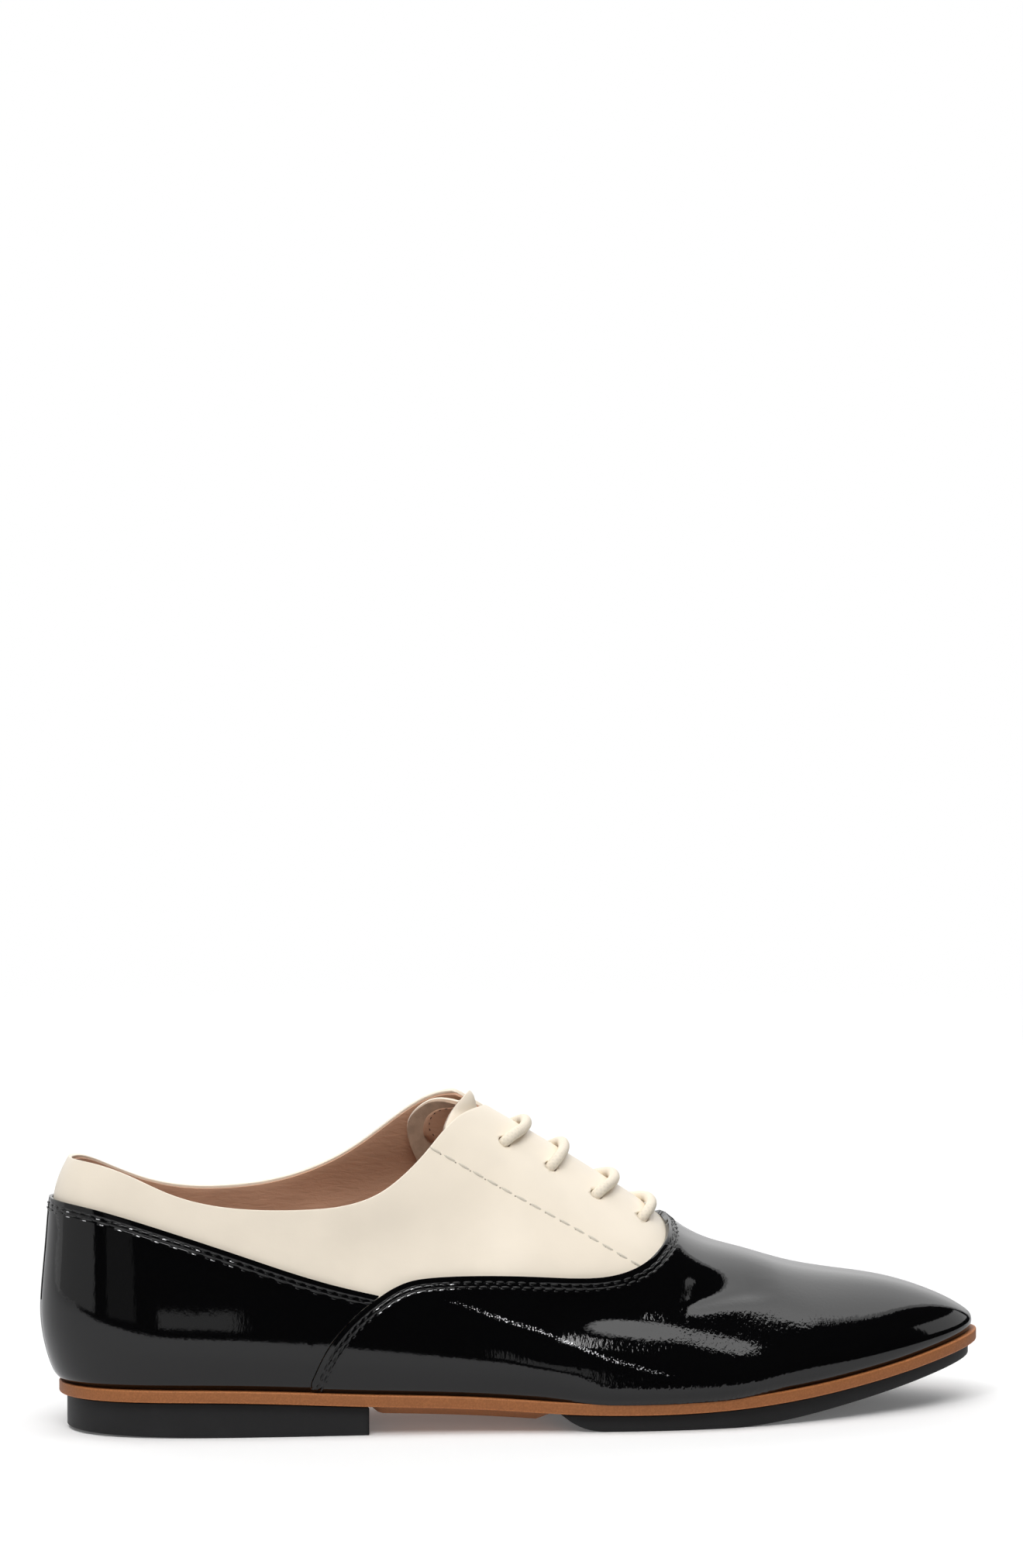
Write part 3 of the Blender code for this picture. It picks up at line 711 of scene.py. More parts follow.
class Finish(Nodes):
    """A material on a Principled shader, with patterns in the piece's own space."""

    def __init__(self, name, colour, roughness, **fixed):
        self.material = bpy.data.materials.new(name)
        self.material.use_nodes = True
        super().__init__(self.material.node_tree)
        self.shader = self.tree.nodes["Principled BSDF"]
        self.set("Base Color", (*colour, 1.0))
        self.set("Roughness", roughness)
        for socket, value in fixed.items():
            self.set(socket.replace("_", " ").title(), value)
        self.colour = (*colour, 1.0)
        self.place = self.add("ShaderNodeTexCoord").outputs["Object"]

    def set(self, socket, value):
        self.feed(self.shader.inputs[socket], value)

    def stretched(self, scale, turn=(0.0, 0.0, 0.0)):
        """The piece's space scaled along each axis, to draw a pattern out."""
        node = self.add("ShaderNodeMapping", None, {"Vector": self.place, "Scale": scale, "Rotation": turn})
        return node.outputs["Vector"]

    def noise(self, size_mm, detail=2.0, where=None, distortion=0.0):
        """Soft noise from 0 to 1 whose features are about size_mm wide."""
        sockets = {
            "Vector": where or self.place, "Scale": 1 / (size_mm * MM), "Detail": detail,
            "Distortion": distortion,
        }
        return Value(self, self.add("ShaderNodeTexNoise", None, sockets).outputs["Fac"])

    def attribute(self, name):
        node = self.add("ShaderNodeAttribute", {"attribute_name": name})
        return Value(self, node.outputs["Fac"])

    def mix(self, share, first, second):
        """A colour between two, each a colour or a socket."""
        sockets = {"Factor": share, 6: first, 7: second}
        return self.add("ShaderNodeMix", {"data_type": "RGBA"}, sockets).outputs[2]

    def relief(self, height_mm):
        """Bump from a height in millimetres."""
        node = self.add("ShaderNodeBump", None, {"Height": height_mm, "Distance": MM, "Strength": 1.0})
        self.set("Normal", node.outputs["Normal"])


DULL = 0.3      # how strongly matt leather and rubber shine
# Colour of the painted highlight flecks, and of the glints' metal
PAINTED_SPARKLE_COLOUR, GLINT_COLOUR = (0.85, 0.85, 0.87, 1.0), (0.6, 0.6, 0.61)
# Patent leather, in millimetres: the painted sparkle line's and the seam furrows' half-widths, and the
# furrows' depth
SPARKLE_LINE_REACH, FURROW_REACH, FURROW_DEPTH = 0.9, 0.5, 0.10


def shade(colour, share):
    """A colour made darker or lighter."""
    return (*(c * share for c in colour[:3]), 1.0)


def cream_leather(colours):
    finish = Finish(CREAM, colours.cream, 0.42, coat_weight=0.06)
    pores, cloud = finish.noise(0.45, 3.0), finish.noise(14.0, 2.0)
    drawn = finish.noise(2.6, 3.0, finish.stretched((0.35, 1.0, 1.0)), distortion=0.6)
    finish.set("Base Color", finish.mix(cloud.ramp(0.3, 0.75), finish.colour, shade(colours.cream, 0.955)))
    finish.set("Roughness", pores * 0.12 + 0.36)
    finish.relief(pores * 0.010 + drawn * 0.028 + cloud * 0.10)
    return finish.material


def lining_leather(colours):
    finish = Finish(LINING, colours.lining, 0.5)
    pores, cloud = finish.noise(0.5, 2.0), finish.noise(22.0, 2.0)
    folds = finish.noise(1.2, 3.0, finish.stretched((0.3, 1.0, 1.0), (0.0, 0.6, 0.0)), distortion=0.5)
    finish.set("Base Color", finish.mix(cloud.ramp(0.3, 0.7), finish.colour, shade(colours.lining, 0.88)))
    finish.set("Roughness", folds * 0.2 + 0.38)
    finish.relief(pores * 0.012 + folds.ramp(0.3, 0.7) * 0.05 + cloud * 0.15)
    return finish.material


def patent_leather(colours, sizes):
    """Lacquered leather: furrows along its seams, light flecks painted along a line as a glinting highlight,
    and wrinkles where it flexes.
    """
    finish = Finish(PATENT, colours.patent, 0.045)
    peel, ripple = finish.noise(0.5, 2.0), finish.noise(7.0, 2.0)
    streaks = finish.noise(0.9, 2.0, finish.stretched((1.0, 1.0, 0.35)))
    edge = finish.attribute("edge_distance") * (1 / MM)
    furrows = edge.bell(sizes.seam_first / MM, FURROW_REACH) + edge.bell(sizes.seam_second / MM, FURROW_REACH)
    line = (finish.attribute("grain_distance") * (1 / MM)).bell(0.0, SPARKLE_LINE_REACH)
    line = line * finish.attribute("grain_share")
    # Light flecks along the line: a painted highlight standing in for where it glints
    painted_sparkle = (finish.noise(0.36, 2.0) + line * 0.1).ramp(0.64, 0.70) * line.ramp(0.05, 0.3)
    finish.set("Base Color", finish.mix(painted_sparkle, finish.colour, PAINTED_SPARKLE_COLOUR))
    finish.set("Roughness", peel * 0.03 + 0.035)
    wrinkles = finish.attribute("wrinkle") * 0.12 + 0.012
    finish.relief(peel * 0.004 + ripple * 0.02 + streaks * wrinkles - furrows * FURROW_DEPTH)
    return finish.material


def glint():
    """The tight bright spots where patent leather puffs up between stitches."""
    return Finish("patent glints", GLINT_COLOUR, 0.12, metallic=1.0).material


def sole_leather(colours):
    finish = Finish("natural sole leather", colours.sole, 0.55)
    finish.set("Specular IOR Level", DULL)
    fibre, speck = finish.noise(0.5, 3.0), finish.noise(0.28, 1.0)
    stain = finish.noise(6.0, 3.0)
    tint = finish.mix(fibre.ramp(0.35, 0.7), shade(colours.sole, 0.86), shade(colours.sole, 1.1))
    tint = finish.mix(stain.ramp(0.4, 0.75) * 0.4, tint, shade(colours.sole, 0.84))
    # Lighter in flecks along the middle of the edge's rounded corners
    lighter_rim = finish.attribute("rim") * speck.ramp(0.3, 0.6)
    finish.set("Base Color", finish.mix(lighter_rim * 0.7, tint, shade(colours.sole, 1.9)))
    finish.relief(fibre * 0.02 + speck * 0.012)
    return finish.material


def black_rubber(colours):
    finish = Finish("black rubber", colours.rubber, 0.55)
    finish.set("Specular IOR Level", DULL)
    grit = finish.noise(0.35, 3.0)
    dust = finish.noise(9.0, 3.0)
    pale = shade(colours.rubber, 1.5)
    finish.set("Base Color", finish.mix(dust.ramp(0.45, 0.8) * 0.5, finish.colour, pale))
    finish.set("Roughness", grit * 0.2 + 0.45)
    finish.relief(grit * 0.012)
    return finish.material


def suede(colours):
    finish = Finish("beige suede", colours.suede, 0.85, sheen_weight=0.3)
    nap, patch = finish.noise(0.35, 4.0), finish.noise(3.0, 3.0)
    tint = finish.mix(patch.ramp(0.3, 0.7), finish.colour, shade(colours.suede, 0.8))
    finish.set("Base Color", tint)
    finish.relief(nap * 0.05)
    return finish.material


def waxed_cord(colours):
    finish = Finish("cream waxed cord", colours.lace, 0.55)
    node = finish.add("ShaderNodeUVMap", {"uv_map": "UVMap"})
    split = finish.add("ShaderNodeSeparateXYZ", None, {"Vector": node.outputs["UV"]})
    along, around = (Value(finish, split.outputs[axis]) for axis in "XY")
    turn = 2 * math.pi
    left = (along * (turn / BRAID_PITCH) + around * (turn * BRAID_STRANDS)).math("SINE")
    right = (along * (turn / BRAID_PITCH) - around * (turn * BRAID_STRANDS)).math("SINE")
    braid = left.math("MAXIMUM", right)
    fuzz = finish.noise(0.35, 4.0)
    # Darker between the braid's strands, as painted shade, and darker or lighter at random with the fuzz
    tint = finish.mix((braid * 0.25 + fuzz).ramp(0.3, 0.85), shade(colours.lace, 0.9), finish.colour)
    finish.set("Base Color", tint)
    finish.set("Roughness", fuzz * 0.2 + 0.5)
    finish.relief(braid * 0.015 + fuzz * 0.05)
    return finish.material


def sewing_thread(name, colour, roughness):
    finish = Finish(name, colour, roughness)
    ply = finish.noise(0.22, 2.0)
    finish.relief(ply * 0.04)
    finish.set("Base Color", finish.mix(ply, shade(colour, 0.75), finish.colour))
    return finish.material


STITCH_SIZES = ("Length", "Width", "Height")
STITCH_BEAD = {"Segments": 10, "Rings": 7, "Radius": 0.5}      # a stitch before it is sized


def stitch_tree():
    """Geometry nodes that sew along a path: a stitch at every pitch, lying on a surface."""
    tree = bpy.data.node_groups.new("stitch row", "GeometryNodeTree")
    face = tree.interface
    face.new_socket("Path", in_out="INPUT", socket_type="NodeSocketGeometry")
    for name, kind in (
        ("Surface", "NodeSocketObject"), ("Pitch", "NodeSocketFloat"), ("Thread", "NodeSocketMaterial"),
        *((name, "NodeSocketFloat") for name in STITCH_SIZES),
    ):
        face.new_socket(name, in_out="INPUT", socket_type=kind)
    face.new_socket("Stitches", in_out="OUTPUT", socket_type="NodeSocketGeometry")
    nodes = Nodes(tree)
    given = nodes.add("NodeGroupInput").outputs
    line = nodes.add("GeometryNodeMeshToCurve", None, {"Mesh": given["Path"]})
    even = nodes.add(
        "GeometryNodeResampleCurve", {"mode": "LENGTH"},
        {"Curve": line.outputs["Curve"], "Length": given["Pitch"]},
    )
    points = nodes.add("GeometryNodeCurveToPoints", {"mode": "EVALUATED"}, {"Curve": even.outputs["Curve"]})
    surface = nodes.add("GeometryNodeObjectInfo", None, {"Object": given["Surface"]})
    normal = nodes.add("GeometryNodeInputNormal")
    under = nodes.add(
        "GeometryNodeSampleNearestSurface", {"data_type": "FLOAT_VECTOR"},
        {"Mesh": surface.outputs["Geometry"], "Value": normal.outputs["Normal"]},
    )
    along = nodes.add(
        "FunctionNodeAlignRotationToVector", {"axis": "X"}, {"Vector": points.outputs["Tangent"]}
    )
    turned = nodes.add(
        "FunctionNodeAlignRotationToVector", {"axis": "Z", "pivot_axis": "X"},
        {"Rotation": along.outputs["Rotation"], "Vector": under.outputs["Value"]},
    )
    bead = nodes.add("GeometryNodeMeshUVSphere", None, STITCH_BEAD)
    size = nodes.add(
        "ShaderNodeCombineXYZ", None, dict(zip("XYZ", (given[name] for name in STITCH_SIZES)))
    )
    sewn = nodes.add(
        "GeometryNodeInstanceOnPoints", None,
        {
            "Points": points.outputs["Points"], "Instance": bead.outputs["Mesh"],
            "Rotation": turned.outputs["Rotation"], "Scale": size.outputs["Vector"],
        },
    )
    real = nodes.add("GeometryNodeRealizeInstances", None, {"Geometry": sewn.outputs["Instances"]})
    smooth = nodes.add("GeometryNodeSetShadeSmooth", None, {"Geometry": real.outputs["Geometry"]})
    thread = nodes.add(
        "GeometryNodeSetMaterial", None,
        {"Geometry": smooth.outputs["Geometry"], "Material": given["Thread"]},
    )
    result = nodes.add("NodeGroupOutput")
    nodes.feed(result.inputs["Stitches"], thread.outputs["Geometry"])
    return tree


def path_on(sheet, line, inset, start=0.0):
    """A line moved across a sheet to its right by inset, as points of the frame; start cuts its beginning."""
    steps = lengths(line)
    even = np.arange(start, steps[-1], PATH_STEP)
    points = np.stack([np.interp(even, steps, column) for column in line.T], 1)
    found = []
    for point, tangent in zip(points, np.gradient(points, axis=0)):
        normal = sheet.find_nearest(Vector(point))[1]
        across = Vector(tangent).cross(normal).normalized()
        found.append(TO_FRAME @ sheet.find_nearest(Vector(point) + across * inset)[0])
    return found


def sew(name, surface, path, tree, thread, pitch, size):
    """A row of stitches along a path, as a plain mesh; size is a stitch's length, width and height."""
    mesh = bpy.data.meshes.new(name)
    mesh.from_pydata(path, [(i, i + 1) for i in range(len(path) - 1)], [])
    piece = link(name, mesh)
    sewing = piece.modifiers.new("sewing", "NODES")
    sewing.node_group = tree
    given = {"Surface": surface, "Pitch": pitch, "Thread": thread, **dict(zip(STITCH_SIZES, size))}
    for item in tree.interface.items_tree:
        if item.name in given:
            sewing[item.identifier] = given[item.name]
    settle(piece)
    return piece


def join_rows(name, rows, thread):
    """One object from several rows of stitches in the same thread."""
    maker = bmesh.new()
    for row in rows:
        maker.from_mesh(row.data)
        bpy.data.objects.remove(row)
    for face in maker.faces:
        face.material_index = 0
    return smooth_piece(name, maker, thread)


# Lines that seams follow

def wall_line(side, t, edge_angle):
    """Points along an edge on the wall of one side."""
    return wall(side, t, np.array([edge_angle(side, at) for at in t]))


def vamp_line():
    """The vamp's edge, from the outer side seam over the throat to the inner side seam."""
    t = stations(VAMP_BACK, THROAT_FOOT, LINE_DENSITY)
    outer, inner = (wall_line(side, t, vamp_angle) for side in (-1, 1))
    return np.concatenate([outer, inner[::-1]])


def foxing_line():
    """The foxing's top edge, from the inner side round the heel to the outer side."""
    t = stations(0, FOXING_FRONT - FOXING_LINE_END, LINE_DENSITY)
    outer, inner = (wall_line(side, t, foxing_angle) for side in (-1, 1))
    return np.concatenate([inner[::-1], outer])


def eyestay_line(side):
    """The stitch line along one side's facing."""
    x = np.linspace(EYESTAY[0][0], EYESTAY[-1][0], EYESTAY_STEPS)
    t = travel(x)
    return wall(side, t, angle_at(side, t, spline(EYESTAY)(x)))


def along_route(points, route):
    """How far points are from a route in side view, above it or below, and their share of its length."""
    places = smooth_route(route, ROUTE_PLACES)[0]
    away = points[:, None, [0, 2]] - places[None]
    distance = np.linalg.norm(away, axis=2)
    nearest = distance.argmin(1)
    row = np.arange(len(points))
    return distance[row, nearest] * np.sign(away[row, nearest, 1]), nearest / (ROUTE_PLACES - 1)


def smooth(share):
    """A share from 0 to 1, eased at both ends."""
    return share * share * (3 - 2 * share)


def fade_ends(share):
    """1 along a route, falling smoothly to 0 at both of its ends."""
    return smooth(np.clip(np.minimum(share, 1 - share) / FOLD_FADE, 0, 1))


def fold_relief(points):
    """Height of the folds at points of the upper."""
    height = np.zeros(len(points))
    middle = LAST["shift"](travel(points[:, 0]))
    for row in FOLDS:
        fold = dict(zip(FOLD_COLUMNS, row))
        distance, share = along_route(points, fold["route"])
        reach = np.where(distance > 0, fold["above"], fold["below"])
        aside = np.clip((points[:, 1] - middle) * fold["side"] / FOLD_MARGIN, 0, 1)
        height += smooth(aside) * fold["height"] * fade_ends(share) * np.exp(-(distance / reach) ** 2)
    return height


def tuck(points):
    """How far a patent piece turns in near the sole."""
    above = points[:, 2] - seat_height(points[:, 0]) - FIT
    return TUCK_DEPTH * np.exp(-(above / TUCK_REACH) ** 2)


def mark(maker, **layers):
    """Stores a value for each point under each name, for the material to read."""
    for name, values in layers.items():
        layer = maker.verts.layers.float.new(name)
        for vertex, value in zip(maker.verts, values):
            vertex[layer] = value


def mark_sparkle_and_wrinkles(maker):
    """Stores the distance from the painted sparkle line in metres, how strongly its painted highlight shows
    (only on the outer side), and the small wrinkles.
    """
    points = points_of(maker)
    distance, share = along_route(points, PAINTED_SPARKLE_LINE)
    low = np.clip((WRINKLE_TOP - points[:, 2]) / WRINKLE_BLEND, 0, 1)
    near = np.exp(-((points[:, 0] - WRINKLE_MIDDLE) / WRINKLE_REACH) ** 2)
    mark(
        maker, grain_distance=distance * MM, grain_share=fade_ends(share) * (points[:, 1] < 0),
        wrinkle=near * (WRINKLE_REST + (1 - WRINKLE_REST) * low),
    )


# What a user would change

class ShoeColours(bpy.types.PropertyGroup):
    """Colours of the shoe's materials"""

    def tint(name, description, default):
        return bpy.props.FloatVectorProperty(
            name=name, description=description, default=default, subtype="COLOR", min=0.0, max=1.0
        )

    cream: tint("Cream leather", "Colour of the quarters and the tongue", (0.91, 0.814, 0.674))
    lining: tint("Lining", "Colour of the lining and the insole", (0.57, 0.33, 0.213))
    patent: tint("Patent leather", "Colour of the vamp and the foxing", (0.0016, 0.0016, 0.0018))
    sole: tint("Sole leather", "Colour of the leather sole's edge", (0.345, 0.126, 0.041))
    rubber: tint("Rubber", "Colour of the heel and the forefoot sole", (0.011, 0.011, 0.0117))
    suede: tint("Suede", "Colour of the tongue's backing", (0.50, 0.345, 0.238))
    lace: tint("Lace", "Colour of the cord laces", (0.88, 0.79, 0.645))
    black_thread: tint("Black thread", "Colour of the stitches on patent leather", (0.004, 0.004, 0.004))
    cream_thread: tint("Cream thread", "Colour of the eyestay's stitches", (0.80, 0.73, 0.61))
    brown_thread: tint("Brown thread", "Colour of the stitches inside the tongue", (0.09, 0.045, 0.03))
    # Painted shadow: the darker bead on the lower side of each eyestay stitch
    stitch_shadow: tint("Stitch shadow", "Colour of the leather pressed in by a stitch", (0.78, 0.70, 0.58))
    # Painted shade: the dark inside of the hole at each eyestay stitch's toe end
    needle_hole_shade: tint("Needle hole shade", "Colour inside a needle hole", (0.40, 0.33, 0.26))


class ShoeSizes(bpy.types.PropertyGroup):
    """Sizes of the laces and stitches"""

    def size(name, description, default):
        return bpy.props.FloatProperty(
            name=name, description=description, default=default, unit="LENGTH", min=0.0, precision=5
        )

    lace: size("Lace diameter", "Thickness of the round lace", 3.1 * MM)
    seam_pitch: size("Seam pitch", "From one black stitch to the next", 3.0 * MM)
    long_pitch: size("Long pitch", "From one stitch to the next in the foxing's second row", 5.1 * MM)
    seam_thread: size("Seam thread", "Thickness of the black thread", 0.55 * MM)
    seam_first: size("First row", "From the patent edge to the first row of stitches", 1.75 * MM)
    seam_second: size("Second row", "From the patent edge to the second row of stitches", 3.05 * MM)
    eyestay_pitch: size("Eyestay pitch", "From one cream stitch to the next", 4.5 * MM)
    eyestay_stitch: size("Eyestay stitch", "Length of a cream stitch", 3.7 * MM)
    eyestay_thread: size("Eyestay thread", "Thickness of the cream thread", 0.75 * MM)
    tongue_pitch: size("Tongue pitch", "From one brown stitch to the next", 1.9 * MM)


class ShoeStage(bpy.types.PropertyGroup):
    """Camera and lights of the studio"""

    def angle(name, description, degrees):
        return bpy.props.FloatProperty(
            name=name, description=description, default=math.radians(degrees), subtype="ANGLE"
        )

    def glow(name, where, default):
        return bpy.props.FloatProperty(name=name, description=f"Brightness of the {where}", default=default)

    azimuth: angle("Azimuth", "Turn of the camera round the shoe", -12.0)
    elevation: angle("Elevation", "Height of the camera above the horizon", 8.5)
    pitch: angle("Pitch", "How far the camera looks above the shoe", 3.886)
    distance: bpy.props.FloatProperty(
        name="Distance", description="From the camera to the shoe", default=2.0, unit="LENGTH"
    )
    lens: bpy.props.FloatProperty(name="Lens", description="Focal length in millimetres", default=164.3)
    canopy: glow("Canopy", "sheet of light over the shoe", 1.0)
    key: glow("Key light", "high light in front at the left", 6.2)
    spark: glow("Spark", "bare bulb in the key light", 40.0)
    fill: glow("Fill", "low light in front", 1.5)
    backdrop: glow("Backdrop", "light over the floor behind the shoe", 1.2)
    left: glow("Left panel", "low panel at the left", 0.55)
    back_left: glow("Back left panel", "low panel behind at the left", 0.9)
    front_left: glow("Front left panel", "low panel in front at the left", 0.12)
    low_front: glow("Low front panel", "strip in front of the floor", 0.5)
    right: glow("Right panel", "panel past the toe", 0.9)


# Pieces

class SHOE_OT_quarters(bpy.types.Operator):
    """Cream quarters with their folded collar, facings and punched lace holes"""
    bl_idname = "shoe.quarters"
    bl_label = "Quarters"

    def execute(self, context):
        t = stations(0, QUARTER_FRONT)
        maker = skin(sheet_between(t, quarter_angle, top_angle, QUARTER_ROWS))
        raise_skin(maker, fold_relief)
        SHEETS["quarters"] = BVHTree.FromBMesh(maker)
        leather = cream_leather(context.scene.shoe_colours)
        piece = cut_leather("quarters", maker, leather, QUARTER_LEATHER, QUARTER_ROUNDING)
        punch_holes(piece)
        seat(piece, "cream_leather", "upper")
        return {"FINISHED"}


def punch_holes(piece):
    """Cuts the lace holes through a piece and turns it into plain mesh."""
    maker = bmesh.new()
    for centre, out in lace_holes():
        turn = out.to_track_quat("Z", "Y").to_matrix().to_4x4()
        bmesh.ops.create_cone(
            maker, cap_ends=True, segments=HOLE_SIDES, radius1=HOLE_DIAMETER / 2, radius2=HOLE_DIAMETER / 2,
            depth=PUNCH_LENGTH, matrix=Matrix.Translation(centre) @ turn,
        )
    punch = new_piece("lace_hole_punch", maker, piece.data.materials[0])
    cut = piece.modifiers.new("lace holes", "BOOLEAN")
    cut.object, cut.operation = punch, "DIFFERENCE"
    settle(piece)
    bpy.data.objects.remove(punch)


def open_holes(maker):
    """Opens the lace holes in a thin sheet and draws their edges round."""
    radius = HOLE_DIAMETER / 2
    for centre, out in lace_holes():
        near = [f for f in maker.faces if (f.calc_center_median() - centre).length < HOLE_DIAMETER]
        inside = [f for f in near if off_axis(f.calc_center_median(), centre, out).length < radius]
        bmesh.ops.delete(maker, geom=inside, context="FACES")
        for vertex in maker.verts:
            if vertex.is_boundary and (vertex.co - centre).length < HOLE_DIAMETER:
                away = off_axis(vertex.co, centre, out)
                vertex.co += away * (radius / away.length - 1)


def off_axis(point, centre, out):
    """From the axis of a hole straight out to a point."""
    away = point - centre
    return away - out * away.dot(out)


class SHOE_OT_lining(bpy.types.Operator):
    """Nude lining inside the upper, from the collar to the toe"""
    bl_idname = "shoe.lining"
    bl_label = "Lining"

    def execute(self, context):
        def top(side, t):
            return top_angle(side, t, LINING_DROP)

        t = stations(0, SOLE_LENGTH)
        maker = skin(sheet_between(t, lambda side, t: 0.0, top, LINING_ROWS))
        raise_skin(maker, lambda points: fold_relief(points) - QUARTER_LEATHER - LINING_GAP)
        open_holes(maker)
        leather = lining_leather(context.scene.shoe_colours)
        piece = cut_leather("lining", maker, leather, LINING_LEATHER, LINING_ROUNDING, 2)
        settle(piece)
        seat(piece, "lining_leather")
        return {"FINISHED"}


class SHOE_OT_vamp(bpy.types.Operator):
    """Black patent vamp with its flex creases"""
    bl_idname = "shoe.vamp"
    bl_label = "Vamp"

    def execute(self, context):
        t = np.unique(np.concatenate([
            stations(VAMP_BACK, FLEX[0]), stations(*FLEX, FLEX_DENSITY * STATIONS),
            stations(FLEX[1], SOLE_LENGTH),
        ]))
        maker = skin(sheet_between(t, lift_angle, vamp_angle, PATENT_ROWS))
        mark_distance(maker, "edge_distance", vamp_line())
        mark_sparkle_and_wrinkles(maker)
        raise_skin(maker, lambda points: OVERLAY_FIT + VAMP_LEATHER + fold_relief(points) - tuck(points))
        SHEETS["vamp"] = BVHTree.FromBMesh(maker)
        leather = patent_leather(context.scene.shoe_colours, context.scene.shoe_sizes)
        piece = cut_leather("vamp_patent", maker, leather, VAMP_LEATHER, VAMP_ROUNDING)
        settle(piece)
        seat(piece, "black_patent", "vamp")
        return {"FINISHED"}


class SHOE_OT_foxing(bpy.types.Operator):
    """Black patent foxing round the heel"""
    bl_idname = "shoe.foxing"
    bl_label = "Foxing"

    def execute(self, context):
        foot = VAMP_BACK - SEAM_CLEAR
        foot_height = vamp_edge_height(VAMP_BACK)

        def seam(side, t):
            return angle_at(side, t, max(foot_height, vamp_edge_height(station(t) + SEAM_CLEAR)))

        def top(side, t):
            return max(foxing_angle(side, t), seam(side, t))

        t = np.concatenate([stations(0, foot), stations(foot, FOXING_FRONT)[1:]])
        back = t[station(t) < foot + WELD / 2]
        maker = skin(
            sheet_between(t, seam, top, PATENT_ROWS),
            sheet_between(back, lift_angle, seam, PATENT_ROWS // FOOT_ROWS),
        )
        mark_distance(maker, "edge_distance", foxing_line())

        def lift(points):
            furrow = np.exp(-(points[:, 1] / BACK_SEAM_REACH) ** 2) * (points[:, 0] < BACK_SEAM_FRONT)
            height = OVERLAY_FIT + FOXING_LEATHER + fold_relief(points)
            return height - BACK_SEAM_DEPTH * furrow - tuck(points)

        raise_skin(maker, lift)
        SHEETS["foxing"] = BVHTree.FromBMesh(maker)
        patent = bpy.data.materials[PATENT]
        piece = cut_leather("foxing_patent", maker, patent, FOXING_LEATHER, FOXING_ROUNDING)
        settle(piece)
        seat(piece, "black_patent", "foxing")
        heights = np.linspace(*BACK_SEAM, BACK_SEAM_STEPS)
        t = np.zeros(len(heights))
        route = wall(-1, t, angle_at(-1, t, heights))
        route[:, 0] -= OVERLAY_FIT + FOXING_LEATHER - BACK_SEAM_DEPTH
        thread = sewing_thread("seam thread", context.scene.shoe_colours.black_thread, 0.9)
        seat(cord_tube("back_seam", route, BACK_SEAM_WIDTH, thread), "black_patent")
        return {"FINISHED"}


def tongue_points(place, along, depth):
    """Points of the tongue at a place across, -1 to 1, a place along and a depth below its face."""
    end = tongue_end(place)
    share = (along - end) / (TONGUE_FOOT - end)
    y = place * (TONGUE_HALF_WIDTHS[0] + (TONGUE_HALF_WIDTHS[1] - TONGUE_HALF_WIDTHS[0]) * share)
    aside = (y - FLARE_CENTRE) / np.where(y > FLARE_CENTRE, FLARE_REACH[1], FLARE_REACH[0])
    flare = np.clip(1 - ((along - end) / TONGUE_FLARE) ** 2, 0, 1) ** 2 * np.clip(1 - aside**2, 0, 1) ** 2
    below = (UPPER_WALL + TONGUE_FIT) * (1 - FLARE_LIFT * flare) + depth
    return instep_point(along, y, -below)[0]


def tongue_sheet(depth):
    """An open sheet under the facings at a depth below the tongue's face."""
    share, place = np.meshgrid(
        np.linspace(0, 1, TONGUE_ROWS + 1), np.linspace(-1, 1, TONGUE_COLUMNS), indexing="ij"
    )
    end = tongue_end(place)
    maker = bmesh.new()
    add_grid(maker, tongue_points(place, end + (TONGUE_FOOT - end) * share, depth))
    return maker


def tongue_ring(radius, depth):
    """A closed ring on the tongue's inner panel, at a share of the panel's size."""
    corners = np.array(PANEL_OUTLINE)
    places = np.linspace(0, len(corners) - 1, PANEL_SIDES + 1)
    along, y = (spline(list(enumerate(corners[:, i])))(places) for i in range(2))
    along = PANEL_MIDDLE + (along - PANEL_MIDDLE) * radius
    return tongue_points(y * radius / TONGUE_HALF_WIDTHS[0], along, depth)


class SHOE_OT_tongue(bpy.types.Operator):
    """Cream tongue with its suede backing"""
    bl_idname = "shoe.tongue"
    bl_label = "Tongue"

    def execute(self, context):
        cream, lining = bpy.data.materials[CREAM], bpy.data.materials[LINING]
        face = cut_leather("tongue_face", tongue_sheet(0.0), cream, TONGUE_FACE, TONGUE_ROUNDING, 2)
        settle(face)
        seat(face, "cream_leather", "tongue")
        maker = bmesh.new()
        rings = [tongue_ring(radius, PANEL_DEPTH + TONGUE_PANEL) for radius in np.linspace(1, 0, PANEL_RINGS)]
        add_grid(maker, rings, flip=True)
        bmesh.ops.remove_doubles(maker, verts=maker.verts, dist=WELD)
        panel = cut_leather("tongue_panel", maker, lining, TONGUE_PANEL)
        settle(panel)
        seat(panel, "lining_leather")
        sheet, nap = tongue_sheet(TONGUE_FACE), suede(context.scene.shoe_colours)
        backing = cut_leather("tongue_backing", sheet, nap, TONGUE_BACKING, BACKING_ROUNDING, 2)
        settle(backing)
        seat(backing, "lining_leather")
        return {"FINISHED"}


class SHOE_OT_insole(bpy.types.Operator):
    """Nude insole"""
    bl_idname = "shoe.insole"
    bl_label = "Insole"

    def execute(self, context):
        maker = plate(
            (0, SOLE_LENGTH), INSOLE_INSET, lambda x, place: seat_height(x) + FIT + INSOLE,
            lambda x, place: seat_height(x) + FIT, INSOLE_ROUNDING,
        )
        piece = new_piece("insole_leather", maker, bpy.data.materials[LINING])
        seat(piece, "lining_leather", "insole")
        return {"FINISHED"}


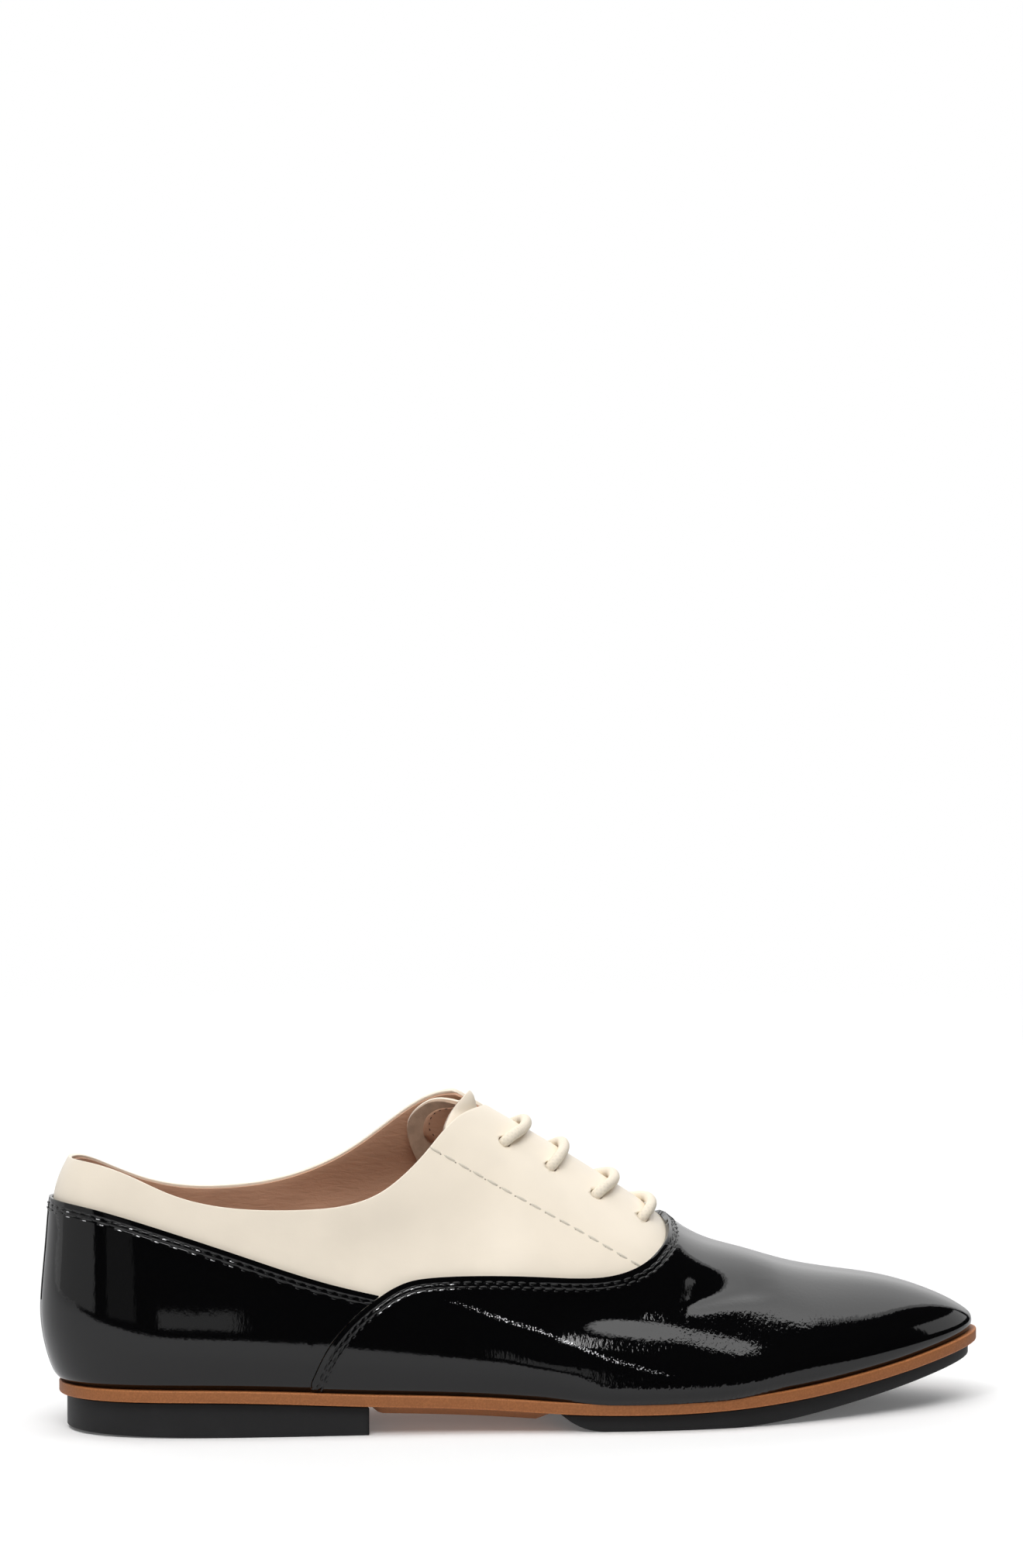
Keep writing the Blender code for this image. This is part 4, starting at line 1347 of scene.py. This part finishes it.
class SHOE_OT_sole(bpy.types.Operator):
    """Leather sole with its edge, rubber heel and rubber forefoot"""
    bl_idname = "shoe.sole"
    bl_label = "Sole"

    def execute(self, context):
        colours = context.scene.shoe_colours
        rubber = black_rubber(colours)

        def under_leather(x, place):
            return seat_height(x) - LEATHER_SOLE - FIT

        pieces = (
            ("sole_leather", 0.0, (0, SOLE_LENGTH), lambda x, place: seat_height(x), leather_sole_under,
             sole_leather(colours), SOLE_ROUNDING, "natural_leather", "leather_sole"),
            ("heel_rubber", HEEL_INSET, (0, HEEL_BREAST), under_leather, heel_tread,
             rubber, RUBBER_ROUNDING, "black_rubber", "heel"),
            ("forefoot_rubber", FOREFOOT_INSET, (FOREFOOT_BACK, SOLE_LENGTH), under_leather, tread_height,
             rubber, RUBBER_ROUNDING, "black_rubber", "forefoot_sole"),
        )
        for name, inset, reach, top, bottom, material, rounding, slot, node in pieces:
            piece = new_piece(name, plate(reach, inset, top, bottom, rounding), material)
            seat(piece, slot, node)
        return {"FINISHED"}


class SHOE_OT_laces(bpy.types.Operator):
    """Cord lace bars that dive into their holes"""
    bl_idname = "shoe.laces"
    bl_label = "Laces"

    def execute(self, context):
        sizes = context.scene.shoe_sizes
        material = waxed_cord(context.scene.shoe_colours)
        for number, row in enumerate(lace_rows(), 1):
            piece = cord_tube(f"lace_{number}", lace_route(row, sizes.lace / MM), sizes.lace / MM, material)
            seat(piece, "cream_cord", f"lace_bar_{number}")
        return {"FINISHED"}


def lace_route(row, diameter):
    """Points of a bar: up out of one hole, across the instep and down the other."""
    route = []
    lift = diameter / 2 + LACE_FIT
    for place in np.linspace(-LACE_SPAN, LACE_SPAN, LACE_PLACES):
        along = row["along"] + row["sag"] * (1 - place**2)
        route.append(instep_point(along, place * row["offset"], lift)[0])
    for side, end in ((-1, 0), (1, len(route) + len(LACE_DIVE))):
        centre, out = instep_point(row["along"], side * row["offset"])
        dive = [centre - out * depth for depth in LACE_DIVE]
        route[end:end] = dive if side < 0 else dive[::-1]
    return np.array(route)


def cord_tube(name, route, diameter, material):
    """A round cord along a route, with its length and girth as a UV map."""
    line, even = smooth_route(route, LACE_RINGS)
    tangents = np.gradient(line, axis=0)
    tangents /= np.linalg.norm(tangents, axis=1)[:, None]
    maker = bmesh.new()
    rings = []
    across = Vector(tangents[0]).orthogonal().normalized()
    for point, tangent in zip(line, tangents):
        across = (across - Vector(tangent) * across.dot(Vector(tangent))).normalized()
        other = Vector(tangent).cross(across)
        angles = np.linspace(0, 2 * math.pi, LACE_SIDES, endpoint=False)
        rings.append([
            maker.verts.new(Vector(point) + (across * math.cos(a) + other * math.sin(a)) * diameter / 2)
            for a in angles
        ])
    uv = maker.loops.layers.uv.new("UVMap")
    for i in range(len(rings) - 1):
        for j in range(LACE_SIDES):
            after = (j + 1) % LACE_SIDES
            made = maker.faces.new((rings[i][j], rings[i][after], rings[i + 1][after], rings[i + 1][j]))
            places = ((i, j), (i, j + 1), (i + 1, j + 1), (i + 1, j))
            for loop, (ring, side) in zip(made.loops, places):
                loop[uv].uv = even[ring] * MM, side / LACE_SIDES
    maker.faces.new(rings[0][::-1])
    maker.faces.new(rings[-1])
    return new_piece(name, maker, material)


class SHOE_OT_stitches(bpy.types.Operator):
    """Stitches along the patent edges, the eyestay and the tongue's panel"""
    bl_idname = "shoe.stitches"
    bl_label = "Stitches"

    def execute(self, context):
        colours, self.sizes = context.scene.shoe_colours, context.scene.shoe_sizes
        self.tree = stitch_tree()
        self.sew_patent(sewing_thread("black thread", colours.black_thread, 0.42))
        self.sew_eyestay(colours)
        self.sew_tongue(sewing_thread("brown thread", colours.brown_thread, 0.6))
        return {"FINISHED"}

    def sew_patent(self, black):
        """Two rows inside each patent edge, and the leather that puffs up between stitches beside them."""
        sizes = self.sizes
        patent, bright = bpy.data.materials[PATENT], glint()
        for name, line, second_pitch in (
            ("vamp", vamp_line(), sizes.seam_pitch), ("foxing", foxing_line(), sizes.long_pitch),
        ):
            piece, sheet = bpy.data.objects[f"{name}_patent"], SHEETS[name]
            rows, puffs, glints = [], [], []
            insets, pitches = (sizes.seam_first, sizes.seam_second), (sizes.seam_pitch, second_pitch)
            for inset, pitch, every in zip(insets, pitches, GLINT_EVERY):
                inset = inset / MM
                thread = (pitch * STITCH_SHARE, sizes.seam_thread, sizes.seam_thread)
                path = path_on(sheet, line, inset)
                rows.append(sew("seam", piece, path, self.tree, black, pitch, thread))
                path = path_on(sheet, line, inset + PUFF_ASIDE, pitch / MM / 2)
                puffs.append(sew("puff", piece, path, self.tree, patent, pitch, PUFF_SIZE))
                first, last = (round(place / PATH_STEP) for place in GLINTS[name])
                for stretch in (path[first:last], path[-last:-first]):
                    glints.append(sew("glint", piece, stretch, self.tree, bright, pitch * every, GLINT_SIZE))
            seat(join_rows(f"{name}_stitches", rows, black), "black_patent")
            seat(join_rows(f"{name}_puffs", puffs, patent), "black_patent")
            seat(join_rows(f"{name}_glints", glints, bright), "black_patent")

    def sew_eyestay(self, colours):
        """Cream stitches, a darker bead beside each as painted shadow on its lower side, and a dark bead at
        its toe end as painted shade in the hole that the needle made.
        """
        sizes = self.sizes
        piece, sheet = bpy.data.objects["quarters"], SHEETS["quarters"]
        thread = sewing_thread("cream thread", colours.cream_thread, 0.55)
        # Painted shadow beside each stitch, and painted shade in the hole at its toe end, both as coloured
        # beads
        stitch_shadow = sewing_thread("pressed groove", colours.stitch_shadow, 0.7)
        # Painted shade in the hole at each stitch's toe end
        hole = sewing_thread("needle hole", colours.needle_hole_shade, 0.8)
        stitch_end = EYESTAY_START + sizes.eyestay_stitch / MM / 2
        stitch = (sizes.eyestay_stitch, sizes.eyestay_thread, sizes.eyestay_thread * EYESTAY_FLATNESS)
        for name, material, size, aside, along in (
            ("eyestay_stitches", thread, stitch, 0.0, EYESTAY_START),
            ("eyestay_grooves", stitch_shadow, SHADOW_SIZE, SHADOW_AND_HOLE_ASIDE, EYESTAY_START + SHADOW_ALONG),
            ("eyestay_holes", hole, NEEDLE_HOLE_SHADE, SHADOW_AND_HOLE_ASIDE, stitch_end),
        ):
            rows = [
                sew(
                    name, piece, path_on(sheet, eyestay_line(side), -side * aside, along),
                    self.tree, material, sizes.eyestay_pitch, size,
                )
                for side in (-1, 1)
            ]
            seat(join_rows(name, rows, material), "cream_leather")

    def sew_tongue(self, brown):
        sizes = self.sizes
        ring = [TO_FRAME @ Vector(point) for point in tongue_ring(PANEL_SEAM, PANEL_DEPTH + TONGUE_PANEL)]
        row = sew(
            "tongue_stitches", bpy.data.objects["tongue_panel"], ring, self.tree, brown, sizes.tongue_pitch,
            TONGUE_STITCH,
        )
        seat(join_rows("tongue_stitches", [row], brown), "lining_leather")


# Light panels: most of them only mirror in the patent leather, and the fill and the backdrop only light
PANEL_COLUMNS = ("name", "centre", "faces", "width", "height", "lights", "mirrors")
PANELS = (
    ("key", (-0.35, -1.10, 1.30), (0.35, 1.10, -1.26), 0.9, 0.7, True, True),
    ("spark", (-0.60, -0.95, 1.30), (0.60, 0.95, -1.26), 0.14, 0.14, True, True),
    ("fill", (0.0, -1.4, 0.45), (0.0, 1.4, -0.4), 1.0, 0.4, True, False),
    ("backdrop", (0.0, 1.1, 0.9), (0.0, 0.1, -1.0), 2.4, 0.6, True, False),
    ("left", (-1.3, -0.29, 0.3), (1.0, 0.0, 0.0), 1.18, 0.6, False, True),
    ("back_left", (-1.3, 1.05, 0.3), (1.0, 0.0, 0.0), 1.5, 0.6, False, True),
    ("front_left", (-1.3, -1.72, 0.3), (1.0, 0.0, 0.0), 0.95, 0.6, False, True),
    ("low_front", (-0.30, -1.2, 0.05), (0.0, 1.0, 0.0), 0.40, 0.1, False, True),
    ("right", (1.5, 0.38, 0.60), (-1.0, 0.0, 0.0), 1.45, 0.55, False, True),
)
# The canopy's brightness by its angle in degrees, from the front horizon over the top to the back
CANOPY = (
    (64.0, 1.2), (67.9, 1.3), (68.1, 2.9), (80.0, 2.7), (95.0, 2.2), (120.0, 1.9), (135.0, 1.6), (150.0, 1.5),
    (162.0, 1.4), (170.0, 1.0), (181.0, 0.6),
)
# Its right end by the same angle, and the dim strip along that end
CANOPY_RIGHT = (
    (64.0, 0.3), (68.0, 0.45), (72.0, 0.62), (75.0, 0.86), (80.0, 0.95), (90.0, 1.04), (115.0, 1.2),
    (181.0, 1.3),
)
CANOPY_RIM, RIM_SHARE = 0.09, 0.5
CANOPY_RADIUS, CANOPY_LEFT, CANOPY_STEPS = 1.2, -1.1, 80
# Its parts by that angle: the top only mirrors, so that the shoe is lit from the front
CANOPY_PARTS = (
    ("canopy", 64.0, 100.0, True), ("top_canopy", 100.0, 135.0, False), ("back_canopy", 135.0, 181.0, True),
)
AIM = Vector((-0.0008, 0.0006, 0.040))
FLOOR_RADIUS, FLOOR_FADE = 1.1, 0.55
FLOOR_WHITE, CARD_GREY, MATT = (0.9, 0.9, 0.9), (0.62, 0.62, 0.63), 0.9
FLOOR_GLOW, CARD_GLOW = 0.1, 0.17
CARD_FRONT, CARD_BACK, CARD_HALF_WIDTH, CARD_DROP = -0.33, 1.4, 1.5, 0.0005
DIM, BLACK, WHITE = (0.012, 0.012, 0.013, 1.0), (0.0, 0.0, 0.0, 1.0), (1.0, 1.0, 1.0, 1.0)


class SHOE_OT_stage(bpy.types.Operator):
    """White floor, light panels and camera"""
    bl_idname = "shoe.stage"
    bl_label = "Studio"

    def execute(self, context):
        stage = context.scene.shoe_stage
        self.lay_floor()
        self.hang_canopy(stage.canopy)
        for row in PANELS:
            panel = dict(zip(PANEL_COLUMNS, row))
            light = bpy.data.lights.new(panel["name"], "AREA")
            light.shape, light.size, light.size_y = "RECTANGLE", panel["width"], panel["height"]
            light.energy = getattr(stage, panel["name"]) * math.pi * panel["width"] * panel["height"]
            lamp = link(panel["name"], light)
            lamp.location = panel["centre"]
            lamp.rotation_mode = "QUATERNION"
            lamp.rotation_quaternion = Vector(panel["faces"]).to_track_quat("-Z", "Y")
            lamp.visible_camera = False
            lamp.visible_diffuse, lamp.visible_glossy = panel["lights"], panel["mirrors"]
        self.make_world(context)
        self.set_camera(context, stage)
        return {"FINISHED"}

    def lay_floor(self):
        """The floor that the camera sees, and a card under it that only throws light back."""
        finish = Finish("white floor", FLOOR_WHITE, MATT, emission_strength=FLOOR_GLOW)
        finish.set("Emission Color", WHITE)
        away = finish.add("ShaderNodeVectorMath", {"operation": "LENGTH"}, {0: finish.place}).outputs["Value"]
        finish.set("Alpha", 1 - Value(finish, away).ramp(FLOOR_FADE, FLOOR_RADIUS))
        card = Finish("white card", CARD_GREY, MATT, emission_strength=CARD_GLOW)
        card.set("Emission Color", WHITE)
        for name, material, reach, front, back, z in (
            ("floor", finish.material, FLOOR_RADIUS, -FLOOR_RADIUS, FLOOR_RADIUS, 0.0),
            ("bounce_card", card.material, CARD_HALF_WIDTH, CARD_FRONT, CARD_BACK, -CARD_DROP),
        ):
            mesh = bpy.data.meshes.new(name)
            corners = [(-reach, front, z), (reach, front, z), (reach, back, z), (-reach, back, z)]
            mesh.from_pydata(corners, [], [(0, 1, 2, 3)])
            mesh.materials.append(material)
            made = link(name, mesh)
            seen = name == "floor"
            made.visible_camera = seen
            made.visible_glossy = made.visible_diffuse = not seen
            made.visible_shadow = False

    def hang_canopy(self, brightness):
        """A sheet of light from the front edge above the camera, over the shoe and down behind it."""
        brightest = max(row[1] for row in CANOPY)
        finish = Finish("canopy light", BLACK[:3], 1.0, emission_strength=brightness * brightest)
        finish.set("Emission Color", finish.mix(finish.attribute("glow"), BLACK, WHITE))
        for name, low, high, lights in CANOPY_PARTS:
            canopy = self.canopy_part(name, np.linspace(low, high, CANOPY_STEPS + 1), finish.material)
            canopy.visible_camera = canopy.visible_shadow = False
            canopy.visible_diffuse = lights

    def canopy_part(self, name, turn, material):
        """The canopy over a run of angles, two strips wide: the sheet and the dim rim at its right end."""
        angles, glow = np.array(CANOPY).T
        right = np.interp(turn, *np.array(CANOPY_RIGHT).T)
        corners, shares = [], []
        for angle, end, share in zip(np.radians(turn), right, np.interp(turn, angles, glow) / glow.max()):
            rim_start = end - CANOPY_RIM
            for x, rim in ((CANOPY_LEFT, 1), (rim_start, 1), (rim_start, RIM_SHARE), (end, RIM_SHARE)):
                corners.append((x, -CANOPY_RADIUS * math.cos(angle), CANOPY_RADIUS * math.sin(angle)))
                shares.append(share * rim)
        quads = [
            (i + j, i + j + 1, i + j + 5, i + j + 4) for i in range(0, 4 * CANOPY_STEPS, 4) for j in (0, 2)
        ]
        mesh = bpy.data.meshes.new(name)
        mesh.from_pydata(corners, [], quads)
        mesh.attributes.new("glow", "FLOAT", "POINT").data.foreach_set("value", shares)
        mesh.materials.append(material)
        return link(name, mesh)

    def make_world(self, context):
        """White to the camera, and nearly dark to the shoe."""
        world = bpy.data.worlds.new("white studio")
        world.use_nodes = True
        context.scene.world = world
        nodes = Nodes(world.node_tree)
        background = world.node_tree.nodes["Background"]
        path = nodes.add("ShaderNodeLightPath")
        tint = nodes.add(
            "ShaderNodeMix", {"data_type": "RGBA"},
            {"Factor": path.outputs["Is Camera Ray"], 6: DIM, 7: WHITE},
        )
        nodes.feed(background.inputs["Color"], tint.outputs[2])
        context.scene.view_settings.view_transform = "Standard"

    def set_camera(self, context, stage):
        turn, rise = stage.azimuth, stage.elevation
        back = Vector((math.sin(turn) * math.cos(rise), -math.cos(turn) * math.cos(rise), math.sin(rise)))
        right = Vector((math.cos(turn), math.sin(turn), 0.0))
        camera = link("camera", bpy.data.cameras.new("camera"))
        camera.data.lens = stage.lens
        camera.location = AIM + back * stage.distance
        camera.rotation_mode = "QUATERNION"
        look = Matrix.Rotation(stage.pitch, 3, right) @ -back
        camera.rotation_quaternion = look.to_track_quat("-Z", "Y")
        context.scene.camera = camera


STEPS = (
    SHOE_OT_quarters, SHOE_OT_lining, SHOE_OT_vamp, SHOE_OT_foxing, SHOE_OT_tongue, SHOE_OT_insole,
    SHOE_OT_sole, SHOE_OT_laces, SHOE_OT_stitches, SHOE_OT_stage,
)


class SHOE_PT_finish(bpy.types.Panel):
    """Lists the steps that dress the shoe"""
    bl_idname = "SHOE_PT_finish"
    bl_label = "Spectator shoe"
    bl_space_type = "VIEW_3D"
    bl_region_type = "UI"
    bl_category = "Shoe"

    def draw(self, context):
        for step in STEPS:
            self.layout.operator(step.bl_idname)


CLASSES = (ShoeColours, ShoeSizes, ShoeStage, *STEPS, SHOE_PT_finish)
SETTINGS = {"shoe_colours": ShoeColours, "shoe_sizes": ShoeSizes, "shoe_stage": ShoeStage}


def register():
    for item in CLASSES:
        bpy.utils.register_class(item)
    for name, group in SETTINGS.items():
        setattr(bpy.types.Scene, name, bpy.props.PointerProperty(type=group))


def unregister():
    for name in SETTINGS:
        delattr(bpy.types.Scene, name)
    for item in reversed(CLASSES):
        bpy.utils.unregister_class(item)


def main():
    register()
    for step in STEPS:
        family, name = step.bl_idname.split(".")
        getattr(getattr(bpy.ops, family), name)()


if __name__ == "__main__":
    main()
